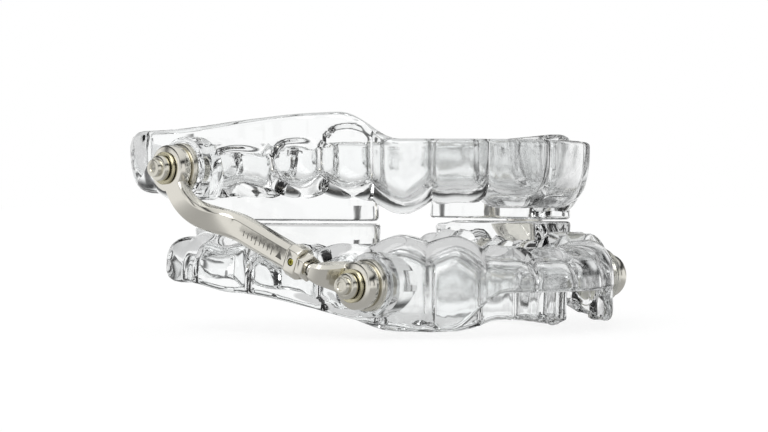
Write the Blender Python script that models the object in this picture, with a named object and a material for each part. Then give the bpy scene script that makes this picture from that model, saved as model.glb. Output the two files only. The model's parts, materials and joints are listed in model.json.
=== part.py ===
"""Mandibular advancement device: two clear acrylic tooth trays joined by two telescopic steel arms.

Sizes are in millimetres. The pieces are modelled at a unit a millimetre and turned to metres at the end.
The patient faces -Y, so the patient's right side is at -X. +Z is up.
The origin is on the floor, under the middle of the whole device.
"""
import math

import bmesh
import bpy
from mathutils import Matrix, Vector

MM = 0.001

# Dental arches: half ellipses through the middle of the crowns
UPPER_FRONT_Y = -21.65         # middle of the upper front teeth
UPPER_ARCH_HALF_WIDTH = 26.3
UPPER_ARCH_DEPTH = 47.9
ADVANCEMENT = 4.5              # how far the lower front teeth are held ahead of the upper ones
LOWER_ARCH_HALF_WIDTH = 25.3
LOWER_ARCH_DEPTH = 45.5
UPPER_TEETH = [8.5, 6.8, 7.8, 7.0, 6.9, 10.2, 9.0]    # crown widths from the midline to the second molar
LOWER_TEETH = [5.6, 6.2, 7.2, 7.2, 7.2, 10.8, 9.4]

# Trays
BITE_PLANE_Z = 15.0            # where the upper and lower bite pads meet
BITE_GAP = 0.3
TRAY_WALL = 1.7
OCCLUSAL_WALL = 2.2            # plastic over the chewing surfaces
FRONT_HALF_DEPTH = 4.6         # half the tray's thickness at the front teeth
CANINE_HALF_DEPTH = 4.7
MOLAR_HALF_DEPTH = 5.6
OUTER_CROWN_BULGE = 0.75       # how far a crown stands out from the grooves beside it
INNER_CROWN_BULGE = 1.0
OUTER_NOTCH = 0.6              # how far the biting side falls back between two teeth
INNER_NOTCH = 1.3
UPPER_SIDE_RIM_Z = 30.0        # top of the high right cheek-side flange, at the first premolar
UPPER_BACK_RIM_Z = 27.9
UPPER_LEFT_SIDE_RIM_Z = 27.9   # the left flange is cut lower
UPPER_LEFT_BACK_RIM_Z = 27.2
UPPER_FRONT_RIM_Z = 26.3
UPPER_TONGUE_RIM_Z = 26.0
LOWER_FRONT_RIM_Z = 5.6
LOWER_LOBE_RIM_Z = 0.6         # the lobe in front of each lower pivot
LOWER_BACK_RIM_Z = 5.2
LOWER_TONGUE_FRONT_RIM_Z = 1.6
LOWER_TONGUE_RIGHT_BACK_RIM_Z = 5.6    # the right tongue flange is cut short behind the premolars
UPPER_BITING_Z = [16.8, 17.6, 15.9, 17.6, 17.9, 18.0, 18.1]    # lowest point of the tray on each tooth
LOWER_BITING_Z = [11.7, 11.9, 13.4, 13.5, 12.6, 12.4, 13.4]
FRONT_EDGE_POWER = 0.80        # 1 gives a wedge-shaped biting edge, 0.4 a flat table
MOLAR_EDGE_POWER = 0.45
FLANGE_RISE_S = (19.3, 26.8)   # where along the arch each rim changes height, from the midline
FLANGE_FALL_S = (27.0, 56.0)
LOBE_S = (9.5, 16.0)
LOBE_END_S = (17.5, 46.0)
TONGUE_S = (8.0, 16.0)
RIGHT_TONGUE_CUT_S = (24.0, 44.0)
TRAY_BACK_REACH = 2.0          # plastic behind the last tooth
HOLLOW_BACK_REACH = 0.8
END_DROP = 4.5                 # how far the rim rounds off at the back end
STATIONS_PER_TOOTH = 4
END_STEPS = 6

# Bite pads, from the canine back
PAD_HALF_WIDTH = 3.3
UPPER_PAD_FRONT_S = 19.5       # distance from the midline along the arch
LOWER_PAD_FRONT_S = 22.0
PAD_BACK_MARGIN = 6.0
PAD_EDGE_ROUND = 0.5

# Pivots: both turn about axes along X
PIVOT_LOWER_Y = UPPER_FRONT_Y + 7.8
PIVOT_LOWER_Z = 6.7
PIVOT_UPPER_Y = UPPER_FRONT_Y + 35.0
PIVOT_UPPER_Z = 22.4
ARM_PAST_UPPER_ARCH = 3.6      # least distance of the arm's axis outside each arch's half width
ARM_PAST_LOWER_ARCH = 4.6
ARM_X = max(UPPER_ARCH_HALF_WIDTH + ARM_PAST_UPPER_ARCH, LOWER_ARCH_HALF_WIDTH + ARM_PAST_LOWER_ARCH)
LOWER_EYE_X = ARM_X - 3.4      # middle of the lower eye's thickness
UPPER_EYE_X = ARM_X + 5.7
EYE_RADIUS = 3.2
EYE_THICKNESS = 2.0
SHANK_RADIUS = 1.2
RUNNING_CLEARANCE = 0.15
SEAT_GAP = 0.2                 # between faces that touch on the real device
BASE_RADIUS = 3.5
BASE_FLANGE = 1.3
BASE_STEM_RADIUS = 2.1
BASE_STEM = 2.2
BOSS_RADIUS = 4.4
UPPER_BOSS_ROOT = UPPER_ARCH_HALF_WIDTH + 0.7    # where each boss starts inside its tray, out along X
LOWER_BOSS_ROOT = LOWER_ARCH_HALF_WIDTH - 10.8
BOSS_COVER = 0.7               # how far the boss stands up round the base's flange
WASHER_RADIUS = 2.4
WASHER_THICKNESS = 0.35
HEAD_RADIUS = 1.75
HEAD_HEIGHT = 0.9
HEAD_STUD_RADIUS = 1.1
HEAD_STUD_HEIGHT = 0.7
SOCKET_RADIUS = 0.6
SOCKET_DEPTH = 0.6
TURN_STEPS = 16

# Telescopic arm: a straight sleeve and rod in a plane across X
ARM_SLOPE = math.radians(21.5)
ROD_RADIUS = 0.8
BORE_CLEARANCE = 0.15
ROD_ENGAGEMENT = 10.0          # how much of the rod is inside the sleeve at rest
BORE_END_ROOM = 1.0
NUT_START = 7.4                # distances along the arm from the lower pivot
NUT_LENGTH = 2.0
NUT_ACROSS_FLATS = 3.3
ROD_NECK_START = 2.2
ROD_NECK_END = 6.5
ROD_NECK_RADIUS = 1.15
COLLAR_LENGTH = 2.6
COLLAR_HEIGHT = 4.0
COLLAR_THICKNESS = 3.2
SLEEVE_HEIGHT = 3.3
SLEEVE_THICKNESS = 2.7
SLEEVE_CHAMFER = 0.7
SLEEVE_STRAIGHT_END = 24.0
NECK_HEIGHT = 3.0
NECK_ARRIVAL = math.radians(65.2)    # how steeply the sleeve's neck meets the upper eye
NECK_PULL_START = 3.2          # how long each end of the neck's curve stays straight
NECK_PULL_END = 5.4
LOCK_SCREW_RADIUS = 0.45
LOCK_SCREW_DEPTH = 0.5
LOCK_SCREW_ROOM = 0.1

SIDES = {"right": -1.0, "left": 1.0}


def clear_scene():
    for item in list(bpy.data.objects):
        bpy.data.objects.remove(item, do_unlink=True)


def make_material(name, colour, metallic, roughness, transmission=0.0):
    material = bpy.data.materials.new(name)
    material.use_nodes = True
    shader = material.node_tree.nodes["Principled BSDF"]
    shader.inputs["Base Color"].default_value = (*colour, 1.0)
    shader.inputs["Metallic"].default_value = metallic
    shader.inputs["Roughness"].default_value = roughness
    shader.inputs["Transmission Weight"].default_value = transmission
    return material


def object_from_bmesh(name, bm, material=None):
    """Turn a closed bmesh into an object, with its faces pointing out."""
    bmesh.ops.remove_doubles(bm, verts=bm.verts, dist=0.001)
    bmesh.ops.recalc_face_normals(bm, faces=bm.faces)
    mesh = bpy.data.meshes.new(name)
    bm.to_mesh(mesh)
    bm.free()
    item = bpy.data.objects.new(name, mesh)
    bpy.context.collection.objects.link(item)
    if material is not None:
        mesh.materials.append(material)
    return item


def cut_or_join(item, tool, operation):
    """Apply one exact Boolean with a tool object, then delete the tool."""
    modifier = item.modifiers.new(operation.lower(), "BOOLEAN")
    modifier.operation = operation
    modifier.solver = "EXACT"
    modifier.object = tool
    bpy.context.view_layer.update()
    evaluated = item.evaluated_get(bpy.context.evaluated_depsgraph_get())
    mesh = bpy.data.meshes.new_from_object(evaluated)
    item.modifiers.clear()
    item.data = mesh
    bpy.data.objects.remove(tool, do_unlink=True)


def smooth_step(value, low, high):
    part = min(max((value - low) / (high - low), 0.0), 1.0)
    return part * part * (3.0 - 2.0 * part)


def mix(a, b, share):
    return a + (b - a) * share


class Arch:
    """A half ellipse measured along its length, with the teeth that stand on it."""

    SAMPLES = 400

    def __init__(self, half_width, depth, front_y, teeth):
        self.half_width = half_width
        self.depth = depth
        self.front_y = front_y
        self.edges = [0.0]
        for width in teeth:
            self.edges.append(self.edges[-1] + width)
        self.back = self.edges[-1]
        self.lengths = [0.0]
        step = math.pi / 2 / self.SAMPLES
        for index in range(1, self.SAMPLES + 1):
            before = self.ellipse((index - 1) * step)
            after = self.ellipse(index * step)
            self.lengths.append(self.lengths[-1] + (after - before).length)

    def ellipse(self, angle):
        across = self.half_width * math.sin(angle)
        along = self.front_y + self.depth * (1.0 - math.cos(angle))
        return Vector((across, along, 0.0))

    def angle_at(self, distance):
        low, high = 0, self.SAMPLES
        while high - low > 1:
            middle = (low + high) // 2
            if self.lengths[middle] > distance:
                high = middle
            else:
                low = middle
        span = self.lengths[high] - self.lengths[low]
        share = (distance - self.lengths[low]) / span
        return (low + min(share, 1.0)) * math.pi / 2 / self.SAMPLES

    def frame_at(self, s):
        """Point, outward normal and direction of growing s, at s along the arch (negative = right)."""
        side = -1.0 if s < 0 else 1.0
        distance = abs(s)
        beyond = max(distance - self.lengths[-1], 0.0)
        angle = self.angle_at(min(distance, self.lengths[-1]))
        point = self.ellipse(angle)
        tangent = Vector((self.half_width * math.cos(angle), self.depth * math.sin(angle), 0.0)).normalized()
        normal = Vector((tangent.y, -tangent.x, 0.0))
        point.y += beyond
        point.x *= side
        normal.x *= side
        return point, normal, Vector((tangent.x, tangent.y * side, 0.0))

    def tooth_at(self, s):
        """The tooth's index at s, and how far s is from its middle, as a share of half its width."""
        distance = min(abs(s), self.back - 0.001)
        index = 0
        while distance >= self.edges[index + 1]:
            index += 1
        middle = (self.edges[index] + self.edges[index + 1]) / 2
        half = (self.edges[index + 1] - self.edges[index]) / 2
        return index, (distance - middle) / half

    def value_at(self, s, values):
        """A value given for each tooth's middle, blended smoothly between neighbours."""
        distance = abs(s)
        middles = [(a + b) / 2 for a, b in zip(self.edges, self.edges[1:])]
        if distance <= middles[0]:
            return values[0]
        for index in range(1, len(middles)):
            if distance <= middles[index]:
                share = smooth_step(distance, middles[index - 1], middles[index])
                return mix(values[index - 1], values[index], share)
        return values[-1]


upper_arch = Arch(UPPER_ARCH_HALF_WIDTH, UPPER_ARCH_DEPTH, UPPER_FRONT_Y, UPPER_TEETH)
lower_arch = Arch(LOWER_ARCH_HALF_WIDTH, LOWER_ARCH_DEPTH, UPPER_FRONT_Y - ADVANCEMENT, LOWER_TEETH)


def tooth_stations(arch, reach):
    """Places along the arch, a few for each tooth, so that every groove has one, and one behind the last."""
    half = [0.0]
    for low, high in zip(arch.edges, arch.edges[1:]):
        for step in range(1, STATIONS_PER_TOOTH + 1):
            half.append(mix(low, high, step / STATIONS_PER_TOOTH))
    half.append(arch.back + reach)
    return [-s for s in reversed(half[1:])] + half


def arch_ring(arch, stations):
    """Places on a ring round the arch: distance along it, side, point and direction out.

    The side is 1 on the cheek side and -1 on the tongue side. The ring runs along the cheek
    side, round the left end, back along the tongue side and round the right end.
    """
    cheek = []
    tongue = []
    for s in stations:
        point, normal, _ = arch.frame_at(s)
        cheek.append((s, 1.0, point, normal))
        tongue.append((s, -1.0, point, -normal))
    ends = []
    for s, sign in ((stations[-1], 1.0), (stations[0], -1.0)):
        point, normal, tangent = arch.frame_at(s)
        arc = []
        for step in range(1, END_STEPS):
            turn = math.pi * step / END_STEPS
            side = sign * math.cos(turn)
            arc.append((s, side, point, normal * side + tangent * sign * math.sin(turn)))
        ends.append(arc)
    return cheek + ends[0] + tongue[::-1] + ends[1]


def band_solid(arch, stations, levels):
    """A closed solid that follows the arch: one ring for each level.

    A level gives the ring's distance from the arch and its height, for a place s and a side.
    """
    ring = arch_ring(arch, stations)
    bm = bmesh.new()
    rows = []
    for level in levels:
        row = []
        for s, side, point, direction in ring:
            distance, height = level(s, side)
            row.append(bm.verts.new(point + direction * distance + Vector((0, 0, height))))
        rows.append(row)
    for low, high in zip(rows, rows[1:]):
        for index in range(len(ring)):
            following = (index + 1) % len(ring)
            bm.faces.new((low[index], low[following], high[following], high[index]))
    places = len(stations)
    first_back = places + END_STEPS - 1
    for row in (rows[0], rows[-1]):
        cheek = row[:places]
        tongue = row[first_back:first_back + places][::-1]
        for index in range(places - 1):
            bm.faces.new((cheek[index], cheek[index + 1], tongue[index + 1], tongue[index]))
        bm.faces.new([cheek[-1]] + row[places:first_back] + [tongue[-1]])
        bm.faces.new([tongue[0]] + row[first_back + places:] + [cheek[0]])
    return bm


def half_depth(arch, s):
    depths = [FRONT_HALF_DEPTH, FRONT_HALF_DEPTH, CANINE_HALF_DEPTH, CANINE_HALF_DEPTH + 0.3,
              MOLAR_HALF_DEPTH - 0.3, MOLAR_HALF_DEPTH, MOLAR_HALF_DEPTH]
    return arch.value_at(s, depths)


def crown_offset(arch, s, bulge):
    """How much less than its fullest a crown stands out at s: none at its middle, all in a groove."""
    index, across = arch.tooth_at(s)
    if index == len(arch.edges) - 2 and across > 0:
        return 0.0
    return -bulge * abs(across) ** 2.5


def crown_tip(arch, s):
    """How far the biting side falls back from a crown's tip at s, from 0 to 1."""
    index, across = arch.tooth_at(s)
    if index < 2:
        return abs(across) ** 5
    if index < 5:
        return abs(across) ** 1.5
    return abs(across) ** 6 + 0.5 * math.cos(math.pi * across / 2) ** 4


def upper_rim(s, side):
    distance = abs(s)
    right = mix(UPPER_SIDE_RIM_Z, UPPER_BACK_RIM_Z, smooth_step(distance, *FLANGE_FALL_S))
    left = mix(UPPER_LEFT_SIDE_RIM_Z, UPPER_LEFT_BACK_RIM_Z, smooth_step(distance, *FLANGE_FALL_S))
    high = right if s < 0 else left
    cheek = mix(UPPER_FRONT_RIM_Z, high, smooth_step(distance, *FLANGE_RISE_S))
    return mix(UPPER_TONGUE_RIM_Z, cheek, smooth_step(side, -1.0, 1.0))


def lower_rim(s, side):
    distance = abs(s)
    lobe = mix(LOWER_FRONT_RIM_Z, LOWER_LOBE_RIM_Z, smooth_step(distance, *LOBE_S))
    cheek = mix(lobe, LOWER_BACK_RIM_Z, smooth_step(distance, *LOBE_END_S))
    tongue = mix(LOWER_TONGUE_FRONT_RIM_Z, 0.0, smooth_step(distance, *TONGUE_S))
    if s < 0:
        tongue = mix(tongue, LOWER_TONGUE_RIGHT_BACK_RIM_Z, smooth_step(distance, *RIGHT_TONGUE_CUT_S))
    return mix(tongue, cheek, smooth_step(side, -0.9, 1.0))


def tray_levels(arch, rim, biting, inner):
    """Levels of the tray's outside, or of the hollow for the teeth, from the rim to the biting side."""
    opens_up = rim(0.0, 1.0) > biting[0]
    upward = 1.0 if opens_up else -1.0
    wall = TRAY_WALL if inner else 0.0
    bulge = INNER_CROWN_BULGE if inner else OUTER_CROWN_BULGE

    def radius(s):
        return half_depth(arch, s) - wall + crown_offset(arch, s, bulge)

    def biting_height(s):
        cover = OCCLUSAL_WALL if inner else 0.0
        notch = INNER_NOTCH if inner else OUTER_NOTCH
        return arch.value_at(s, biting) + upward * (cover + notch * crown_tip(arch, s))

    def edge(s, side):
        rounding = 0.0 if inner else END_DROP * (1.0 - abs(side))
        return rim(s, side) - upward * rounding

    def level(turn):
        def place(s, side):
            power = arch.value_at(s, [FRONT_EDGE_POWER] * 3 + [MOLAR_EDGE_POWER] * 4)
            distance = radius(s) * math.cos(turn) ** power
            rise = math.sin(turn) ** 0.75
            return distance, mix(edge(s, side), biting_height(s), rise)
        return place

    def rim_inset(s, side):
        return radius(s) - TRAY_WALL - 0.4, edge(s, side)

    def above_rim(s, side):
        return radius(s), rim(s, side) + upward * 1.0

    turns = (0, 16, 32, 48, 65, 81) if not inner else (0, 20, 40, 60, 80)
    shell = [level(math.radians(turn)) for turn in turns]
    return ([above_rim] if inner else [rim_inset]) + shell


def pad_solid(arch, side, opens_up, biting, front):
    """A bite pad along one side of the arch, sunk into the plastic over the teeth."""
    upward = 1.0 if opens_up else -1.0
    face = BITE_PLANE_Z + upward * BITE_GAP / 2
    back = arch.back - PAD_BACK_MARGIN
    steps = 16
    stations = [side * mix(front, back, step / steps) for step in range(steps + 1)]
    if side < 0:
        stations.reverse()

    def level(inset, height):
        return lambda s, _: (PAD_HALF_WIDTH - inset, height)

    def root(s, _):
        return PAD_HALF_WIDTH - 0.2, arch.value_at(s, biting) + upward * OCCLUSAL_WALL * 0.6

    levels = [level(PAD_EDGE_ROUND, face), level(PAD_EDGE_ROUND * 0.3, face + upward * PAD_EDGE_ROUND * 0.3),
              level(0.0, face + upward * PAD_EDGE_ROUND), root]
    return band_solid(arch, stations, levels)


def turned_solid(side, profile, centre_y, centre_z):
    """Spin a closed outline of (distance out along X, radius) points about an axis along X."""
    bm = bmesh.new()
    verts = [bm.verts.new((side * out, centre_y, centre_z + radius)) for out, radius in profile]
    edges = [bm.edges.new((a, b)) for a, b in zip(verts, verts[1:] + verts[:1])]
    bmesh.ops.spin(bm, geom=verts + edges, cent=(0, centre_y, centre_z), axis=(1, 0, 0),
                   angle=math.tau, steps=TURN_STEPS, use_merge=True)
    return bm


def turned_rod(side, profile, centre_y, centre_z):
    """Spin an open outline that starts and ends on the axis along X."""
    bm = bmesh.new()
    verts = [bm.verts.new((side * out, centre_y, centre_z + radius)) for out, radius in profile]
    edges = [bm.edges.new((a, b)) for a, b in zip(verts, verts[1:])]
    bmesh.ops.spin(bm, geom=verts + edges, cent=(0, centre_y, centre_z), axis=(1, 0, 0),
                   angle=math.tau, steps=TURN_STEPS, use_merge=True)
    return bm


def swept_solid(side, sections):
    """Join eight-sided sections; each is (centre, direction, height, thickness, chamfer)."""
    outward = Vector((side, 0, 0))
    bm = bmesh.new()
    rows = []
    for centre, direction, height, thickness, chamfer in sections:
        across = (outward - direction * outward.dot(direction)).normalized()
        upward = direction.cross(across)
        h, t = height / 2, thickness / 2
        outline = [(h, t - chamfer), (h - chamfer, t), (chamfer - h, t), (-h, t - chamfer),
                   (-h, chamfer - t), (chamfer - h, -t), (h - chamfer, -t), (h, chamfer - t)]
        rows.append([bm.verts.new(centre + upward * a + across * b) for a, b in outline])
    for low, high in zip(rows, rows[1:]):
        for index in range(8):
            following = (index + 1) % 8
            bm.faces.new((low[index], low[following], high[following], high[index]))
    bm.faces.new(rows[0])
    bm.faces.new(rows[-1])
    return bm


def curve_point(a, b, c, d, share):
    """A point and its direction on a Bezier curve with four control points."""
    rest = 1.0 - share
    point = a * rest**3 + b * 3 * rest**2 * share + c * 3 * rest * share**2 + d * share**3
    direction = (b - a) * rest**2 + (c - b) * 2 * rest * share + (d - c) * share**2
    return point, direction.normalized()


ARM_DIRECTION = Vector((0, math.cos(ARM_SLOPE), math.sin(ARM_SLOPE)))
ARM_UP = Vector((0, -math.sin(ARM_SLOPE), math.cos(ARM_SLOPE)))
NUT_END = NUT_START + NUT_LENGTH
SLEEVE_START = NUT_END + SEAT_GAP
ROD_END = SLEEVE_START + ROD_ENGAGEMENT
BORE_RADIUS = ROD_RADIUS + BORE_CLEARANCE
EYE_BORE = SHANK_RADIUS + RUNNING_CLEARANCE


def arm_point(side, along, out=ARM_X):
    """A point on the arm's straight axis, measured from the lower pivot."""
    return Vector((side * out, PIVOT_LOWER_Y, PIVOT_LOWER_Z)) + ARM_DIRECTION * along


def arm_bar(side, start, end, radius, steps=TURN_STEPS):
    """A round or many-sided bar on the arm's axis."""
    bm = bmesh.new()
    middle = arm_point(side, (start + end) / 2)
    outward = Vector((side, 0, 0))
    turn = Matrix((outward, ARM_DIRECTION.cross(outward), ARM_DIRECTION)).transposed().to_4x4()
    bmesh.ops.create_cone(bm, cap_ends=True, segments=steps, radius1=radius, radius2=radius,
                          depth=end - start, matrix=Matrix.Translation(middle) @ turn)
    return bm


def eye_solid(side, out, centre_y, centre_z):
    low, high = out - EYE_THICKNESS / 2, out + EYE_THICKNESS / 2
    bevel = 0.25
    profile = [(low, EYE_BORE), (low, EYE_RADIUS - bevel), (low + bevel, EYE_RADIUS),
               (high - bevel, EYE_RADIUS), (high, EYE_RADIUS - bevel), (high, EYE_BORE)]
    return turned_solid(side, profile, centre_y, centre_z)


def make_rod(label, side, steel):
    """The lower half of an arm: a round bar, a flattened neck and the lower eye."""
    rod = object_from_bmesh(label + "_rod", arm_bar(side, ROD_NECK_END - 0.6, ROD_END, ROD_RADIUS), steel)
    sections = []
    start, end = arm_point(side, ROD_NECK_END), arm_point(side, ROD_NECK_START, LOWER_EYE_X)
    pull = (ROD_NECK_END - ROD_NECK_START) * 0.45
    steps = 5
    for step in range(steps + 1):
        share = step / steps
        after, before = start - ARM_DIRECTION * pull, end + ARM_DIRECTION * pull
        point, direction = curve_point(start, after, before, end, share)
        width = 2 * ROD_NECK_RADIUS
        sections.append((point, direction, mix(width, NECK_HEIGHT, share),
                         mix(width, EYE_THICKNESS - 0.1, share), mix(0.5, 0.3, share)))
    neck = object_from_bmesh("neck", swept_solid(side, sections))
    cut_or_join(rod, neck, "UNION")
    eye = object_from_bmesh("eye", eye_solid(side, LOWER_EYE_X, PIVOT_LOWER_Y, PIVOT_LOWER_Z))
    cut_or_join(rod, eye, "UNION")
    return rod


def make_sleeve(label, side, steel):
    """The upper half of an arm: a collar, a chamfered square sleeve, a curved neck and the upper eye."""
    section = (SLEEVE_HEIGHT, SLEEVE_THICKNESS, SLEEVE_CHAMFER)
    collar_end = SLEEVE_START + COLLAR_LENGTH
    wide = (COLLAR_HEIGHT, COLLAR_THICKNESS, SLEEVE_CHAMFER)
    sections = [(arm_point(side, SLEEVE_START), ARM_DIRECTION, *wide),
                (arm_point(side, collar_end), ARM_DIRECTION, *wide),
                (arm_point(side, collar_end + 0.3), ARM_DIRECTION, *section)]
    start = arm_point(side, SLEEVE_STRAIGHT_END)
    pivot = Vector((side * UPPER_EYE_X, PIVOT_UPPER_Y, PIVOT_UPPER_Z))
    arrival = Vector((0, math.cos(NECK_ARRIVAL), math.sin(NECK_ARRIVAL)))
    end = pivot - arrival * ROD_NECK_START
    steps = 9
    for step in range(steps + 1):
        share = step / steps
        after, before = start + ARM_DIRECTION * NECK_PULL_START, end - arrival * NECK_PULL_END
        point, direction = curve_point(start, after, before, end, share)
        sections.append((point, direction, mix(SLEEVE_HEIGHT, NECK_HEIGHT, share),
                         mix(SLEEVE_THICKNESS, EYE_THICKNESS - 0.1, share), mix(SLEEVE_CHAMFER, 0.3, share)))
    sleeve = object_from_bmesh(label + "_sleeve", swept_solid(side, sections), steel)
    eye = object_from_bmesh("eye", eye_solid(side, UPPER_EYE_X, PIVOT_UPPER_Y, PIVOT_UPPER_Z))
    cut_or_join(sleeve, eye, "UNION")
    bore = object_from_bmesh("bore", arm_bar(side, SLEEVE_START - 1.0, ROD_END + BORE_END_ROOM, BORE_RADIUS))
    cut_or_join(sleeve, bore, "DIFFERENCE")
    lock_at = arm_point(side, SLEEVE_START + COLLAR_LENGTH / 2)
    face = ARM_X + COLLAR_THICKNESS / 2
    floor = face - LOCK_SCREW_DEPTH
    radius = LOCK_SCREW_RADIUS + LOCK_SCREW_ROOM
    profile = [(floor, 0), (floor, radius), (face + 1.0, radius), (face + 1.0, 0)]
    hole = turned_rod(side, profile, lock_at.y, lock_at.z)
    cut_or_join(sleeve, object_from_bmesh("hole", hole), "DIFFERENCE")
    return sleeve


def make_lock_screw(label, side, steel):
    """A tiny screw that lies just under the collar's outer face."""
    lock_at = arm_point(side, SLEEVE_START + COLLAR_LENGTH / 2)
    face = ARM_X + COLLAR_THICKNESS / 2
    low, high, radius = face - LOCK_SCREW_DEPTH + LOCK_SCREW_ROOM, face - 0.05, LOCK_SCREW_RADIUS
    profile = [(low, 0), (low, radius), (high, radius), (high, radius * 0.5),
               (high - 0.2, radius * 0.4), (high - 0.2, 0)]
    return object_from_bmesh(label + "_lock_screw", turned_rod(side, profile, lock_at.y, lock_at.z), steel)


def make_nut(label, side, steel):
    """A six-sided nut on the rod, against the end of the sleeve."""
    corner = NUT_ACROSS_FLATS / math.sqrt(3)
    nut = object_from_bmesh(label + "_adjusting_nut", arm_bar(side, NUT_START, NUT_END, corner, 6), steel)
    bore = object_from_bmesh("bore", arm_bar(side, NUT_START - 1.0, NUT_END + 1.0, BORE_RADIUS))
    cut_or_join(nut, bore, "DIFFERENCE")
    return nut


def base_levels(eye_x):
    """Distances out along X: front and back of the base's flange, and the end of its stem."""
    front = eye_x - EYE_THICKNESS / 2 - SEAT_GAP
    back = front - BASE_FLANGE
    return front, back, back - BASE_STEM


def make_base(name, side, eye_x, centre_y, centre_z, steel):
    """A flanged nut that is set in the acrylic and takes the pivot screw."""
    front, back, stem_end = base_levels(eye_x)
    profile = [(front, EYE_BORE), (front, BASE_RADIUS - 0.3), (front - 0.3, BASE_RADIUS),
               (back, BASE_RADIUS), (back, BASE_STEM_RADIUS),
               (stem_end, BASE_STEM_RADIUS), (stem_end, EYE_BORE)]
    return object_from_bmesh(name, turned_solid(side, profile, centre_y, centre_z), steel)


def make_washer(name, side, eye_x, centre_y, centre_z, steel):
    low = eye_x + EYE_THICKNESS / 2 + SEAT_GAP
    high = low + WASHER_THICKNESS
    profile = [(low, EYE_BORE), (low, WASHER_RADIUS), (high, WASHER_RADIUS), (high, EYE_BORE)]
    return object_from_bmesh(name, turned_solid(side, profile, centre_y, centre_z), steel)


def make_pivot_screw(name, side, eye_x, centre_y, centre_z, steel):
    """A shoulder screw with a flat cap, a short stud on it and a socket in the stud."""
    tip = base_levels(eye_x)[2] + 0.4
    seat = eye_x + EYE_THICKNESS / 2 + WASHER_THICKNESS + 2 * SEAT_GAP
    cap = seat + HEAD_HEIGHT
    top = cap + HEAD_STUD_HEIGHT
    profile = [(tip, 0), (tip, SHANK_RADIUS - 0.25), (tip + 0.25, SHANK_RADIUS), (seat, SHANK_RADIUS),
               (seat, HEAD_RADIUS), (cap - 0.25, HEAD_RADIUS), (cap, HEAD_RADIUS - 0.25),
               (cap, HEAD_STUD_RADIUS), (top - 0.15, HEAD_STUD_RADIUS), (top, HEAD_STUD_RADIUS - 0.15),
               (top, SOCKET_RADIUS), (top - SOCKET_DEPTH, SOCKET_RADIUS), (top - SOCKET_DEPTH, 0)]
    return object_from_bmesh(name, turned_rod(side, profile, centre_y, centre_z), steel)


def join_shells(name, shells):
    """One object from several closed shells that don't meet."""
    whole = bmesh.new()
    for shell in shells:
        bmesh.ops.recalc_face_normals(shell, faces=shell.faces)
        mesh = bpy.data.meshes.new(name)
        shell.to_mesh(mesh)
        shell.free()
        whole.from_mesh(mesh)
        bpy.data.meshes.remove(mesh)
    return object_from_bmesh(name, whole)


def make_tray(name, arch, rim, biting, eye_x, boss_root, centre_y, centre_z, acrylic):
    """A tooth tray with its bite pads and the two bosses for the pivots."""
    opens_up = name.startswith("upper")
    outside = tooth_stations(arch, TRAY_BACK_REACH)
    tray = object_from_bmesh(name, band_solid(arch, outside, tray_levels(arch, rim, biting, False)), acrylic)
    _, back, stem_end = base_levels(eye_x)
    pad_front = UPPER_PAD_FRONT_S if opens_up else LOWER_PAD_FRONT_S
    face = back + BOSS_COVER
    room = SEAT_GAP
    boss_profile = [(boss_root, 0), (boss_root, BOSS_RADIUS), (face - 0.3, BOSS_RADIUS),
                    (face, BOSS_RADIUS - 0.3), (face, 0)]
    pocket_profile = [(stem_end - room, 0), (stem_end - room, BASE_STEM_RADIUS + room),
                      (back - room, BASE_STEM_RADIUS + room), (back - room, BASE_RADIUS + room),
                      (face + 1.0, BASE_RADIUS + room), (face + 1.0, 0)]
    pads = []
    bosses = []
    inside = tooth_stations(arch, HOLLOW_BACK_REACH)
    removed = [band_solid(arch, inside, tray_levels(arch, rim, biting, True))]
    for side in SIDES.values():
        pads.append(pad_solid(arch, side, opens_up, biting, pad_front))
        bosses.append(turned_rod(side, boss_profile, centre_y, centre_z))
        removed.append(turned_rod(side, pocket_profile, centre_y, centre_z))
    cut_or_join(tray, join_shells("pads", pads), "UNION")
    cut_or_join(tray, join_shells("bosses", bosses), "UNION")
    cut_or_join(tray, join_shells("hollow_and_pockets", removed), "DIFFERENCE")
    return tray


def main():
    clear_scene()
    acrylic = make_material("clear_acrylic", (0.86, 0.88, 0.88), 0.0, 0.08, 0.85)
    steel = make_material("polished_steel", (0.72, 0.71, 0.67), 1.0, 0.18)
    make_tray("upper_tray", upper_arch, upper_rim, UPPER_BITING_Z, UPPER_EYE_X, UPPER_BOSS_ROOT,
              PIVOT_UPPER_Y, PIVOT_UPPER_Z, acrylic)
    make_tray("lower_tray", lower_arch, lower_rim, LOWER_BITING_Z, LOWER_EYE_X, LOWER_BOSS_ROOT,
              PIVOT_LOWER_Y, PIVOT_LOWER_Z, acrylic)
    for label, side in SIDES.items():
        make_rod(label, side, steel)
        make_nut(label, side, steel)
        make_sleeve(label, side, steel)
        make_lock_screw(label, side, steel)
        for level, eye_x, y, z in (("upper", UPPER_EYE_X, PIVOT_UPPER_Y, PIVOT_UPPER_Z),
                                   ("lower", LOWER_EYE_X, PIVOT_LOWER_Y, PIVOT_LOWER_Z)):
            make_base(f"{label}_{level}_base", side, eye_x, y, z, steel)
            make_washer(f"{label}_{level}_washer", side, eye_x, y, z, steel)
            make_pivot_screw(f"{label}_{level}_pivot_screw", side, eye_x, y, z, steel)
    for item in bpy.data.objects:
        item.data.transform(Matrix.Diagonal((MM, MM, MM, 1.0)))
        item.data.shade_smooth()
        item.data.set_sharp_from_angle(angle=math.radians(35))


main()
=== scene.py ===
# %% [markdown]
# # A mandibular advancement device
# This lesson dresses a small dental appliance: two clear acrylic trays that fit over the teeth,
# joined on each side by a polished steel arm. The arm pivots at both ends and slides in itself,
# so the wearer can open the mouth while the lower jaw is held forward.
# The steel and the acrylic need opposite care. Steel shows what is around it, and clear acrylic
# shows the shape of its own inner walls, so both walls of each tray are modelled.

# %% Load the fixed frame
import json
import math

import bmesh
import bpy
from mathutils import Matrix, Vector


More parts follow.
